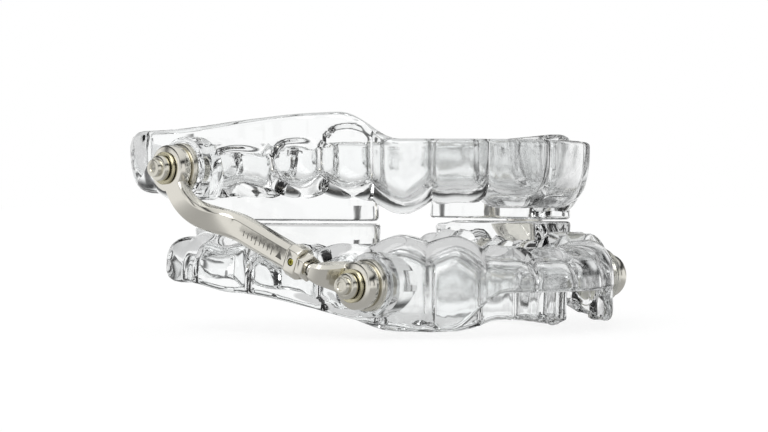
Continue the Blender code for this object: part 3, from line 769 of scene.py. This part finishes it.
# %% Pads
PAD_STEPS, PAD_HALF_WIDTH, PAD_EDGE_ROUND = 48, 3.3, 0.5
LOWER_PAD_SLOPE, LOWER_PAD_SLOPE_LENGTH, LOWER_PAD_END_ROUND = 0.4, 3.0, 2.4    # at the back end
UPPER_PAD_BACK_MARGIN, LOWER_PAD_BACK_MARGIN = 6.0, 1.0
UPPER_PAD_FRONT_S = {-1.0: 26.0, 1.0: 21.0}    # the pads are ground by hand, so the sides differ
LOWER_PAD_FRONT_S = {-1.0: 29.2, 1.0: 29.0}
EYE_THICKNESS, SEAT_GAP, BASE_RADIUS, BASE_FLANGE = 2.0, 0.2, 3.5, 1.3
BASE_STEM_RADIUS, BASE_STEM = 2.1, 2.2
BOSS_RADIUS, BOSS_COVER, BOSS_EDGE_ROUND = 4.4, 0.7, 0.4
UPPER_BOSS_ROOT, LOWER_BOSS_ROOT = 27.0, 14.5


def pad_solid(arch, side, opens_up, biting):
    upward = 1.0 if opens_up else -1.0
    face = BITE_PLANE_Z + upward * BITE_GAP / 2
    front = (UPPER_PAD_FRONT_S if opens_up else LOWER_PAD_FRONT_S)[side]
    back = arch.back - (UPPER_PAD_BACK_MARGIN if opens_up else LOWER_PAD_BACK_MARGIN)
    stations = [side * mix(front, back, step / PAD_STEPS) for step in range(PAD_STEPS + 1)]
    if side < 0:
        stations.reverse()

    def end_fall(s, across):
        if opens_up:
            return 0.0
        slope = LOWER_PAD_SLOPE * smooth_step(abs(s), back - LOWER_PAD_SLOPE_LENGTH, back)
        end = smooth_step(abs(s), back - 0.1, back)
        return slope + LOWER_PAD_END_ROUND * (1 - abs(across)) ** 1.5 * end

    def rounded(turn):
        inset = PAD_EDGE_ROUND * (1 - math.sin(turn))
        rise = PAD_EDGE_ROUND * (1 - math.cos(turn))

        def place(s, across):
            return PAD_HALF_WIDTH - inset, face + upward * (rise + end_fall(s, across))
        return place

    def root(s, _):
        return PAD_HALF_WIDTH - 0.2, arch.value_at(s, biting) + upward * OCCLUSAL_WALL * 0.6

    edge = [rounded(math.radians(turn)) for turn in (0, 30, 60, 90)]
    return band_solid(arch, stations, edge + [root])


print("pads", 2 * PAD_HALF_WIDTH, "mm wide")

# %% [markdown]
# ## Putting a tray together
# A round boss of acrylic holds each steel base. Wall, pads and bosses are cured as one piece,
# so they are joined, and the hollow and the pockets for the bases are cut last. Overlapping
# shells would be quicker, but light would bend at every hidden face inside them.

# %% Finished trays
def base_levels(eye_x):
    """Distances out along X: front and back of the base's flange, and the end of its stem."""
    front = eye_x - EYE_THICKNESS / 2 - SEAT_GAP
    back = front - BASE_FLANGE
    return front, back, back - BASE_STEM


def join_shells(shells):
    whole = bmesh.new()
    for shell in shells:
        bmesh.ops.recalc_face_normals(shell, faces=shell.faces)
        mesh = bpy.data.meshes.new("shell")
        shell.to_mesh(mesh)
        shell.free()
        whole.from_mesh(mesh)
        bpy.data.meshes.remove(mesh)
    return whole


def make_tray(name, arch, rim, biting, eye_x, boss_root, centre):
    opens_up = name.startswith("upper")
    outside = tooth_stations(arch, TRAY_BACK_REACH)
    inside = tooth_stations(arch, HOLLOW_BACK_REACH)
    shell = band_solid(arch, outside, outer_levels(arch, rim, biting, opens_up))
    tray = object_from_bmesh(name, shell, polished_acrylic)
    _, back, stem_end = base_levels(eye_x)
    face = back + BOSS_COVER
    room = SEAT_GAP
    boss_edge = rounded_edge(face, BOSS_RADIUS, BOSS_EDGE_ROUND, -1.0)[::-1]
    boss = [(boss_root, 0), (boss_root, BOSS_RADIUS), *boss_edge, (face, 0)]
    pocket = [(stem_end - room, 0), (stem_end - room, BASE_STEM_RADIUS + room),
              (back - room, BASE_STEM_RADIUS + room), (back - room, BASE_RADIUS + room),
              (face + 1.0, BASE_RADIUS + room), (face + 1.0, 0)]
    pads, bosses, pockets = [], [], []
    for side in SIDES.values():
        pads.append(pad_solid(arch, side, opens_up, biting))
        bosses.append(turned(side, boss, centre))
        pockets.append(turned(side, pocket, centre))
    hollow = band_solid(arch, inside, hollow_levels(arch, rim, biting, opens_up))
    cut_or_join(tray, join_shells(pads), polished_acrylic, "UNION")
    cut_or_join(tray, join_shells(bosses), polished_acrylic, "UNION")
    cut_or_join(tray, join_shells([hollow] + pockets), cast_acrylic, "DIFFERENCE")
    return tray


trays = {
    "upper": make_tray("upper_tray_clear", upper_arch, upper_rim, UPPER_BITING_Z,
                       UPPER_EYE_X, UPPER_BOSS_ROOT, upper_pivot),
    "lower": make_tray("lower_tray_clear", lower_arch, lower_rim, LOWER_BITING_Z,
                       LOWER_EYE_X, LOWER_BOSS_ROOT, lower_pivot)}
for jaw, tray in trays.items():
    finish_piece(tray, jaw + "_jaw", jaw + "_tray", sharp=40.0)

# %% [markdown]
# ## The arm
# Each arm is a flat-sided sleeve with a thicker collar at its end, a threaded rod that slides in
# it and a six-sided nut that sets how far the rod may go in. The sleeve is swept along a line
# that is straight and then curves up and out to its eye. Eight-sided sections keep its flats
# and give it the soft bevels that catch the light.

# %% Arm sizes
EYE_RADIUS, SHANK_RADIUS, RUNNING_CLEARANCE = 3.2, 1.2, 0.15
ROD_RADIUS, BORE_CLEARANCE, ROD_ENGAGEMENT, BORE_END_ROOM = 0.8, 0.15, 10.0, 1.0
NUT_START, NUT_LENGTH, NUT_ACROSS_FLATS = 5.9, 1.3, 3.3
NECK_START, ROD_NECK_END = 2.2, 5.0    # from the eye's middle
ROD_NECK_RADIUS, ROD_PLATE_HEIGHT = 1.2, 4.6
COLLAR_LENGTH, COLLAR_HEIGHT, COLLAR_THICKNESS = 2.0, 4.4, 3.0
SLEEVE_HEIGHT, SLEEVE_THICKNESS, SLEEVE_CHAMFER = 3.7, 2.7, 0.7
SLEEVE_STRAIGHT_END, NECK_HEIGHT = 19.2, 3.3
NECK_PULLS, ROD_NECK_PULL = (6.0, 6.4), 0.45    # how strongly the necks' curves leave their ends
NECK_ARRIVAL = math.radians(65.2)
LOCK_SCREW_RADIUS, LOCK_SCREW_DEPTH = 0.45, 0.5
NUT_END = NUT_START + NUT_LENGTH
SLEEVE_START = NUT_END + SEAT_GAP
ROD_END = SLEEVE_START + ROD_ENGAGEMENT
BORE_RADIUS = ROD_RADIUS + BORE_CLEARANCE
EYE_BORE = SHANK_RADIUS + RUNNING_CLEARANCE
ARM_TURN_STEPS, NECK_STEPS, ROD_NECK_STEPS = 48, 32, 12


def arm_point(side, along, out=ARM_X):
    return Vector((side * out, lower_pivot.y, lower_pivot.z)) + arm_axis * along


print("arm from", NUT_START, "to", SLEEVE_STRAIGHT_END, "mm along its axis")

# %% [markdown]
# ## Shapes for the arm
# The neck of a real sleeve is bent and then milled flat. Sections set along a Bezier curve do
# the same and may change their size on the way. Round bores and rings are spun about the arm's
# own axis, which leans, so they can't share the function for pieces that lie across the jaw.

# %% Arm shapes
def curve_point(a, b, c, d, share):
    """A point and its direction on a Bezier curve with four control points."""
    rest = 1.0 - share
    point = a * rest**3 + b * 3 * rest**2 * share + c * 3 * rest * share**2 + d * share**3
    direction = (b - a) * rest**2 + (c - b) * 2 * rest * share + (d - c) * share**2
    return point, direction.normalized()


def swept(side, sections):
    """Join eight-sided sections; each is (centre, direction, height, thickness, chamfer)."""
    outward = Vector((side, 0, 0))
    bm = bmesh.new()
    rows = []
    for centre, direction, height, thickness, chamfer in sections:
        across = (outward - direction * outward.dot(direction)).normalized()
        upward = direction.cross(across)
        h, t = height / 2, thickness / 2
        outline = [(h, t - chamfer), (h - chamfer, t), (chamfer - h, t), (-h, t - chamfer),
                   (-h, chamfer - t), (chamfer - h, -t), (h - chamfer, -t), (h, chamfer - t)]
        rows.append([bm.verts.new(centre + upward * a + across * b) for a, b in outline])
    join_rows(bm, rows)
    bm.faces.new(rows[0])
    bm.faces.new(rows[-1])
    return bm


def arm_turned(side, profile):
    """Spin (distance along the arm, radius) points about the arm's own axis."""
    upward = Vector((0, -arm_axis.z, arm_axis.y))
    points = [arm_point(side, along) + upward * radius for along, radius in profile]
    return spun(points, arm_point(side, 0), arm_axis, ARM_TURN_STEPS, False)


def arm_bar(side, start, end, radius, steps):
    bm = bmesh.new()
    outward = Vector((side, 0, 0))
    turn = Matrix((outward, arm_axis.cross(outward), arm_axis)).transposed().to_4x4()
    bmesh.ops.create_cone(bm, cap_ends=True, segments=steps, radius1=radius, radius2=radius,
                          depth=end - start,
                          matrix=Matrix.Translation(arm_point(side, (start + end) / 2)) @ turn)
    return bm


def soften(item, width, segments, angle):
    """Round the sharp edges of a finished piece, as tumbling does."""
    modifier = item.modifiers.new("soft_edges", "BEVEL")
    modifier.width = width
    modifier.segments = segments
    modifier.limit_method = "ANGLE"
    modifier.angle_limit = math.radians(angle)
    apply_modifiers(item)


def eye(side, out, centre):
    low, high = out - EYE_THICKNESS / 2, out + EYE_THICKNESS / 2
    near = rounded_edge(low, EYE_RADIUS, EDGE_ROUND, 1.0)
    far = rounded_edge(high, EYE_RADIUS, EDGE_ROUND, -1.0)[::-1]
    profile = [(low, EYE_BORE), *near, *far, (high, EYE_BORE)]
    return turned(side, profile, centre)


print("eyes", 2 * EYE_RADIUS, "mm across, with a", round(2 * EYE_BORE, 2), "mm bore")

# %% [markdown]
# ## Rod and nut
# The rod's thread has a pitch of 0.4 mm. At this size it shows only as fine rings beside the
# nut, so rings are turned on the rod instead of a helix, which would need many more faces.

# %% Rod and nut
THREAD_PITCH, THREAD_DEPTH = 0.4, 0.1


def make_rod(label, side):
    start, stop = ROD_NECK_END - 0.6, ROD_END
    profile = [(start, 0), (start, ROD_RADIUS - THREAD_DEPTH)]
    along = start
    while along + THREAD_PITCH < stop:
        profile += [(along + THREAD_PITCH * 0.5, ROD_RADIUS),
                    (along + THREAD_PITCH, ROD_RADIUS - THREAD_DEPTH)]
        along += THREAD_PITCH
    profile += [(stop, ROD_RADIUS - THREAD_DEPTH), (stop, 0)]
    rod = object_from_bmesh(label + "_threaded_rod", arm_turned(side, profile), steel)
    a, b = arm_point(side, ROD_NECK_END), arm_point(side, NECK_START, LOWER_EYE_X)
    pull = (ROD_NECK_END - NECK_START) * ROD_NECK_PULL
    sections = []
    for step in range(ROD_NECK_STEPS + 1):
        share = step / ROD_NECK_STEPS
        point, direction = curve_point(a, a - arm_axis * pull, b + arm_axis * pull, b, share)
        width = 2 * ROD_NECK_RADIUS
        sections.append((point, direction, mix(width, ROD_PLATE_HEIGHT, share),
                         mix(width, EYE_THICKNESS - 0.1, share), mix(0.5, 0.3, share)))
    cut_or_join(rod, swept(side, sections), steel, "UNION")
    cut_or_join(rod, eye(side, LOWER_EYE_X, lower_pivot), steel, "UNION")
    return rod


def make_nut(label, side):
    corner = NUT_ACROSS_FLATS / math.sqrt(3)
    hexagon = arm_bar(side, NUT_START, NUT_END, corner, 6)
    nut = object_from_bmesh(label + "_hexagonal_nut", hexagon, steel)
    soften(nut, 0.12, 3, 30.0)
    bore = arm_bar(side, NUT_START - 1.0, NUT_END + 1.0, BORE_RADIUS,
                   ARM_TURN_STEPS)
    cut_or_join(nut, bore, steel, "DIFFERENCE")
    return nut


for label, side in SIDES.items():
    for kind, make, node in (("rod", make_rod, "rod"), ("nut", make_nut, "adjusting_nut")):
        finish_piece(make(label, side), f"{label}_{kind}_body", f"{label}_{node}")

# %% [markdown]
# ## Sleeve and lock screw
# The sleeve is bored for the rod and carries a collar with the tiny lock screw. All its edges
# were broken in the tumbling drum, so a narrow bevel goes on before the bores are cut.

# %% Sleeve and lock screw
def make_sleeve(label, side):
    section = (SLEEVE_HEIGHT, SLEEVE_THICKNESS, SLEEVE_CHAMFER)
    wide = (COLLAR_HEIGHT, COLLAR_THICKNESS, SLEEVE_CHAMFER)
    collar_end = SLEEVE_START + COLLAR_LENGTH
    sections = [(arm_point(side, SLEEVE_START), arm_axis, *wide),
                (arm_point(side, collar_end), arm_axis, *wide),
                (arm_point(side, collar_end + 0.3), arm_axis, *section)]
    start = arm_point(side, SLEEVE_STRAIGHT_END)
    pivot = Vector((side * UPPER_EYE_X, upper_pivot.y, upper_pivot.z))
    arrival = Vector((0, math.cos(NECK_ARRIVAL), math.sin(NECK_ARRIVAL)))
    end = pivot - arrival * NECK_START
    for step in range(NECK_STEPS + 1):
        share = step / NECK_STEPS
        point, direction = curve_point(start, start + arm_axis * NECK_PULLS[0],
                                       end - arrival * NECK_PULLS[1], end, share)
        sections.append((point, direction, mix(SLEEVE_HEIGHT, NECK_HEIGHT, share),
                         mix(SLEEVE_THICKNESS, EYE_THICKNESS - 0.1, share),
                         mix(SLEEVE_CHAMFER, 0.3, share)))
    sleeve = object_from_bmesh(label + "_sleeve_with_collar", swept(side, sections), steel)
    soften(sleeve, 0.1, 2, 20.0)
    cut_or_join(sleeve, eye(side, UPPER_EYE_X, upper_pivot), steel, "UNION")
    # The bore and the lock screw's hole are lined with the darker steel: painted shade inside them,
    # on a rougher finish.
    bore = arm_bar(side, SLEEVE_START - 1.0, ROD_END + BORE_END_ROOM, BORE_RADIUS,
                   ARM_TURN_STEPS)
    cut_or_join(sleeve, bore, socket_steel_painted_shade, "DIFFERENCE")
    face = ARM_X + COLLAR_THICKNESS / 2
    radius = LOCK_SCREW_RADIUS + 0.1
    hole = [(face - LOCK_SCREW_DEPTH, 0), (face - LOCK_SCREW_DEPTH, radius),
            (face + 1.0, radius), (face + 1.0, 0)]
    lock_at = arm_point(side, SLEEVE_START + COLLAR_LENGTH / 2)
    cut_or_join(sleeve, turned(side, hole, lock_at), socket_steel_painted_shade, "DIFFERENCE")
    return sleeve


def make_lock_screw(label, side):
    face = ARM_X + COLLAR_THICKNESS / 2
    low, high, radius = face - LOCK_SCREW_DEPTH + 0.1, face - 0.05, LOCK_SCREW_RADIUS
    profile = [(low, 0), (low, radius), (high - 0.06, radius), (high, radius - 0.06),
               (high, radius * 0.5), (high - 0.25, radius * 0.4), (high - 0.25, 0)]
    lock_at = arm_point(side, SLEEVE_START + COLLAR_LENGTH / 2)
    return object_from_bmesh(label + "_tiny_lock_screw", turned(side, profile, lock_at), lock_steel)


for label, side in SIDES.items():
    body = label + "_sleeve_body"
    finish_piece(make_sleeve(label, side), body, label + "_sleeve")
    finish_piece(make_lock_screw(label, side), body, label + "_lock_screw")

# %% [markdown]
# ## Pivots
# At each pivot a flanged base is set in the acrylic, a stepped screw runs through the eye into
# it, and a washer lies under the screw's head. All three come from a lathe. Cylinders could be
# stacked, but one spun outline gives the steps and the rounded edges at once.

# %% Bases, washers and screws
WASHER_RADIUS, WASHER_THICKNESS = 2.25, 0.35
HEAD_RADIUS, HEAD_HEIGHT, HEAD_STUD_RADIUS, HEAD_STUD_HEIGHT = 1.75, 0.85, 1.2, 0.75
SOCKET_RADIUS, SOCKET_DEPTH, TIP_TAPER = 0.55, 0.15, 0.25


def base_outline(eye_x):
    front, back, stem_end = base_levels(eye_x)
    return [(front, EYE_BORE), *rounded_edge(front, BASE_RADIUS, EDGE_ROUND, -1.0),
            (back, BASE_RADIUS), (back, BASE_STEM_RADIUS),
            (stem_end, BASE_STEM_RADIUS), (stem_end, EYE_BORE)]


def washer_outline(eye_x):
    low = eye_x + EYE_THICKNESS / 2 + SEAT_GAP
    high = low + WASHER_THICKNESS
    return [(low, EYE_BORE), (low, WASHER_RADIUS), (high - 0.08, WASHER_RADIUS),
            (high, WASHER_RADIUS - 0.08), (high, EYE_BORE)]


def screw_outline(eye_x):
    tip = base_levels(eye_x)[2] + 0.4
    seat = eye_x + EYE_THICKNESS / 2 + WASHER_THICKNESS + 2 * SEAT_GAP
    cap, top = seat + HEAD_HEIGHT, seat + HEAD_HEIGHT + HEAD_STUD_HEIGHT
    return [(tip, 0), (tip, SHANK_RADIUS - TIP_TAPER), (tip + TIP_TAPER, SHANK_RADIUS),
            (seat, SHANK_RADIUS), (seat, HEAD_RADIUS),
            *rounded_edge(cap, HEAD_RADIUS, EDGE_ROUND, -1.0)[::-1],
            (cap, HEAD_STUD_RADIUS), *rounded_edge(top, HEAD_STUD_RADIUS, 0.12, -1.0)[::-1],
            (top, SOCKET_RADIUS + 0.06), (top - 0.06, SOCKET_RADIUS),
            (top - SOCKET_DEPTH, SOCKET_RADIUS), (top - SOCKET_DEPTH, 0)]


PIVOT_PIECES = (("set_base", "base", "base_steel", base_outline, turned_steel),
                ("ring", "washer", "washer_steel", washer_outline, washer_steel),
                ("stepped_screw", "pivot_screw", "screw_steel", screw_outline, turned_steel))

for label, side in SIDES.items():
    for jaw, eye_x, centre in (("upper", UPPER_EYE_X, upper_pivot),
                               ("lower", LOWER_EYE_X, lower_pivot)):
        for name, node, slot, outline, material in PIVOT_PIECES:
            shape = turned(side, outline(eye_x), centre)
            piece = object_from_bmesh(f"{label}_{jaw}_{name}", shape, material)
            finish_piece(piece, jaw + "_jaw", f"{label}_{jaw}_{node}")

# %% [markdown]
# ## Marks on the arm
# A row of plain ticks and a small pointer are burnt into the outer face of each sleeve. A
# texture could carry them, but it would blur when seen close. They are plates one hundredth of
# a millimetre proud, enough to have their own dull finish and too little to catch a shadow.

# %% Laser marks
TICKS, TICK_SPACING, TICK_START, TICK_WIDTH = 8, 0.85, 12.4, 0.14
LONG_TICK, SHORT_TICK, MARK_ROOT, MARK_PROUD = 0.62, 0.38, 0.02, 0.01
POINTER_AT, POINTER_SIZE, POINTER_LOW_HIGH = 10.9, 0.62, (-0.5, 0.55)


def make_marks(label, side):
    face = ARM_X + SLEEVE_THICKNESS / 2
    upward = Vector((0, -arm_axis.z, arm_axis.y))
    bm = bmesh.new()

    def plate(outline):
        rows = [[bm.verts.new(arm_point(side, along, out) + upward * up) for along, up in outline]
                for out in (face - MARK_ROOT, face + MARK_PROUD)]
        bm.faces.new(rows[0])
        bm.faces.new(rows[1])
        join_rows(bm, rows)

    for count in range(TICKS):
        along = TICK_START + count * TICK_SPACING
        reach = LONG_TICK if count % 4 == 0 else SHORT_TICK
        end = along + TICK_WIDTH
        plate([(along, -reach), (end, -reach), (end, reach), (along, reach)])
    low, high = POINTER_LOW_HIGH
    plate([(POINTER_AT - POINTER_SIZE, low), (POINTER_AT + POINTER_SIZE, low), (POINTER_AT, high)])
    return object_from_bmesh(label + "_arm_marks", bm, mark_oxide)


for label, side in SIDES.items():
    marks = make_marks(label, side)
    marks.data.transform(Matrix.Diagonal((MM, MM, MM, 1.0)))
    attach(marks, label + "_sleeve_body")
    print(marks.name, "rides the sleeve")

# %% [markdown]
# ## Studio
# The photograph is a cut-out on pure white, and the clear plastic was lit in the way called
# bright field: the white backdrop is seen straight through it, while its curved edges bend
# the view to the dark parts of the room above and beside. The floor and the world therefore
# show as white to the camera, and only the metal and the acrylic see darker parts. On the
# floor that is a grey middle, painted shade under the object that only they see. Without it,
# clear plastic on white would vanish.

# %% White floor
FLOOR_SIZE = 6.0
CAMERA_GLOW, CAMERA_SHARE = 1.12, 0.75    # the floor's own white and its share of what is seen
# Painted shade: the floor turns grey towards the object, for glossy and transmission rays only.
PAINTED_FLOOR_SHADE = (                    # bent and mirrored: where the grey middle ends, and its level
    (30.0, 110.0, 0.65), (42.0, 90.0, 0.5))


def white_floor():
    material, tree, shader = new_material(
        "pale_studio_floor", Base_Color=linear("#F2F2F2"), Roughness=0.9)
    path = add_node(tree, "ShaderNodeLightPath")
    place = add_node(tree, "ShaderNodeTexCoord")
    reach = add_node(tree, "ShaderNodeVectorMath", {0: place.outputs["Object"]}, operation="LENGTH")
    # Painted shade under the object: grey levels that rise to white away from the middle.
    levels = [add_node(tree, "ShaderNodeMapRange", {
        "Value": reach.outputs["Value"], "From Min": start * MM, "From Max": end * MM,
        "To Min": middle, "To Max": 1.0}, interpolation_type="SMOOTHSTEP").outputs["Result"]
        for start, end, middle in PAINTED_FLOOR_SHADE]
    rays = {0: path.outputs["Is Glossy Ray"], 1: path.outputs["Is Transmission Ray"]}
    mirrored = add_node(tree, "ShaderNodeMath", rays, operation="SUBTRACT")
    bent = add_node(tree, "ShaderNodeMath", rays, operation="MAXIMUM")
    level = add_node(tree, "ShaderNodeMix", {0: mirrored.outputs[0], 2: levels[0], 3: levels[1]})
    glow = add_node(tree, "ShaderNodeEmission", {"Color": (1, 1, 1, 1), "Strength": CAMERA_GLOW})
    seen = add_node(tree, "ShaderNodeEmission", {"Color": (1, 1, 1, 1), "Strength": level.outputs[0]})
    shown = add_node(tree, "ShaderNodeMath", {
        0: path.outputs["Is Camera Ray"], 1: CAMERA_SHARE}, operation="MULTIPLY")
    to_object = add_node(tree, "ShaderNodeMixShader", {
        0: bent.outputs[0], 1: shader.outputs[0], 2: seen.outputs[0]})
    blend = add_node(tree, "ShaderNodeMixShader", {
        0: shown.outputs[0], 1: to_object.outputs[0], 2: glow.outputs[0]})
    tree.links.new(blend.outputs[0], tree.nodes["Material Output"].inputs["Surface"])
    bpy.ops.mesh.primitive_plane_add(size=FLOOR_SIZE)
    floor = bpy.context.object
    floor.name = "floor"
    floor.location.z = -0.0005
    floor.data.materials.append(material)


white_floor()
print("floor", FLOOR_SIZE, "m wide")

# %% [markdown]
# ## The room
# Metal and clear plastic show the room more than the lamps. They see a ring of ten white
# panels with narrow dark gaps, a dark band above them and a white ceiling. Real panels could
# be built, but a pattern in the world needs no mesh and stays out of the camera's view. One
# soft sun adds the light on dull faces and the faint shadow.

# %% Room and lamps
PANELS = 10                    # one is centred straight behind the object, as the camera sees it
ROOM_BANDS = ((0.0, "#FFFFFF"), (0.25, "#FFFFFF"), (0.33, "#9A9B9B"), (0.40, "#2C2D2D"),
              (0.50, "#2C2D2D"), (0.62, "#E4E5E5"), (1.0, "#FFFFFF"))
GAP_WAVE, GAP_LEVEL = (-1.0, -0.55), 0.1    # part of the cosine that is a gap, and its level
PANEL_TOPS = (0.3, 0.5)        # where the ring of panels ends, as a share of the way up
ROOM_LEVEL = 0.7               # what dull surfaces get from the room


def studio_world():
    world = bpy.data.worlds.new("studio")
    bpy.context.scene.world = world
    world.use_nodes = True
    tree = world.node_tree
    tree.nodes.clear()
    place = add_node(tree, "ShaderNodeTexCoord")
    split = add_node(tree, "ShaderNodeSeparateXYZ", {0: place.outputs["Generated"]})
    ramp = add_node(tree, "ShaderNodeValToRGB", {0: split.outputs["Z"]})
    bands = ramp.color_ramp.elements
    for height, _ in ROOM_BANDS[1:-1]:
        bands.new(height)
    for band, (height, code) in zip(bands, ROOM_BANDS):
        band.position = height
        band.color = linear(code)
    turn = add_node(tree, "ShaderNodeMath", {
        0: split.outputs["X"], 1: split.outputs["Y"]}, operation="ARCTAN2")
    ring = add_node(tree, "ShaderNodeMath", {
        0: turn.outputs[0], 1: PANELS, 2: -PANELS * VIEW_TURN}, operation="MULTIPLY_ADD")
    wave = add_node(tree, "ShaderNodeMath", {0: ring.outputs[0]}, operation="COSINE")
    gap = add_node(tree, "ShaderNodeMapRange", {
        "Value": wave.outputs[0], "From Min": GAP_WAVE[0], "From Max": GAP_WAVE[1],
        "To Min": GAP_LEVEL, "To Max": 1.0}, interpolation_type="SMOOTHSTEP")
    low_down = add_node(tree, "ShaderNodeMapRange", {
        "Value": split.outputs["Z"], "From Min": PANEL_TOPS[0], "From Max": PANEL_TOPS[1],
        "To Min": 1.0, "To Max": 0.0})
    shade = add_node(tree, "ShaderNodeMix", {
        0: low_down.outputs["Result"], 2: 1.0, 3: gap.outputs["Result"]})
    path = add_node(tree, "ShaderNodeLightPath")
    rays = {0: path.outputs["Is Glossy Ray"], 1: path.outputs["Is Transmission Ray"]}
    seen = add_node(tree, "ShaderNodeMath", rays, operation="MAXIMUM")
    room = add_node(tree, "ShaderNodeBackground", {
        "Color": linear("#E4E5E5"), "Strength": ROOM_LEVEL})
    cards = add_node(tree, "ShaderNodeBackground", {
        "Color": ramp.outputs[0], "Strength": shade.outputs[0]})
    white = add_node(tree, "ShaderNodeBackground", {"Color": (1, 1, 1, 1), "Strength": 1.0})
    inner = add_node(tree, "ShaderNodeMixShader", {
        0: seen.outputs[0], 1: room.outputs[0], 2: cards.outputs[0]})
    outer = add_node(tree, "ShaderNodeMixShader", {
        0: path.outputs["Is Camera Ray"], 1: inner.outputs[0], 2: white.outputs[0]})
    add_node(tree, "ShaderNodeOutputWorld", {"Surface": outer.outputs[0]})


def soft_sun(name, place_mm, spread_degrees, strength):
    """A lamp far away, so the whole floor gets the same light and shows no edge."""
    data = bpy.data.lights.new(name, "SUN")
    data.angle = math.radians(spread_degrees)
    data.energy = strength
    lamp = bpy.data.objects.new(name, data)
    lamp.location = Vector(place_mm) * MM
    aim = Vector((0, 0, 15)) * MM - lamp.location
    lamp.rotation_euler = aim.to_track_quat("-Z", "Y").to_euler()
    bpy.context.collection.objects.link(lamp)


studio_world()
soft_sun("key_light", (-420, -160, 420), 45.0, 1.1)
print("world and one soft sun")
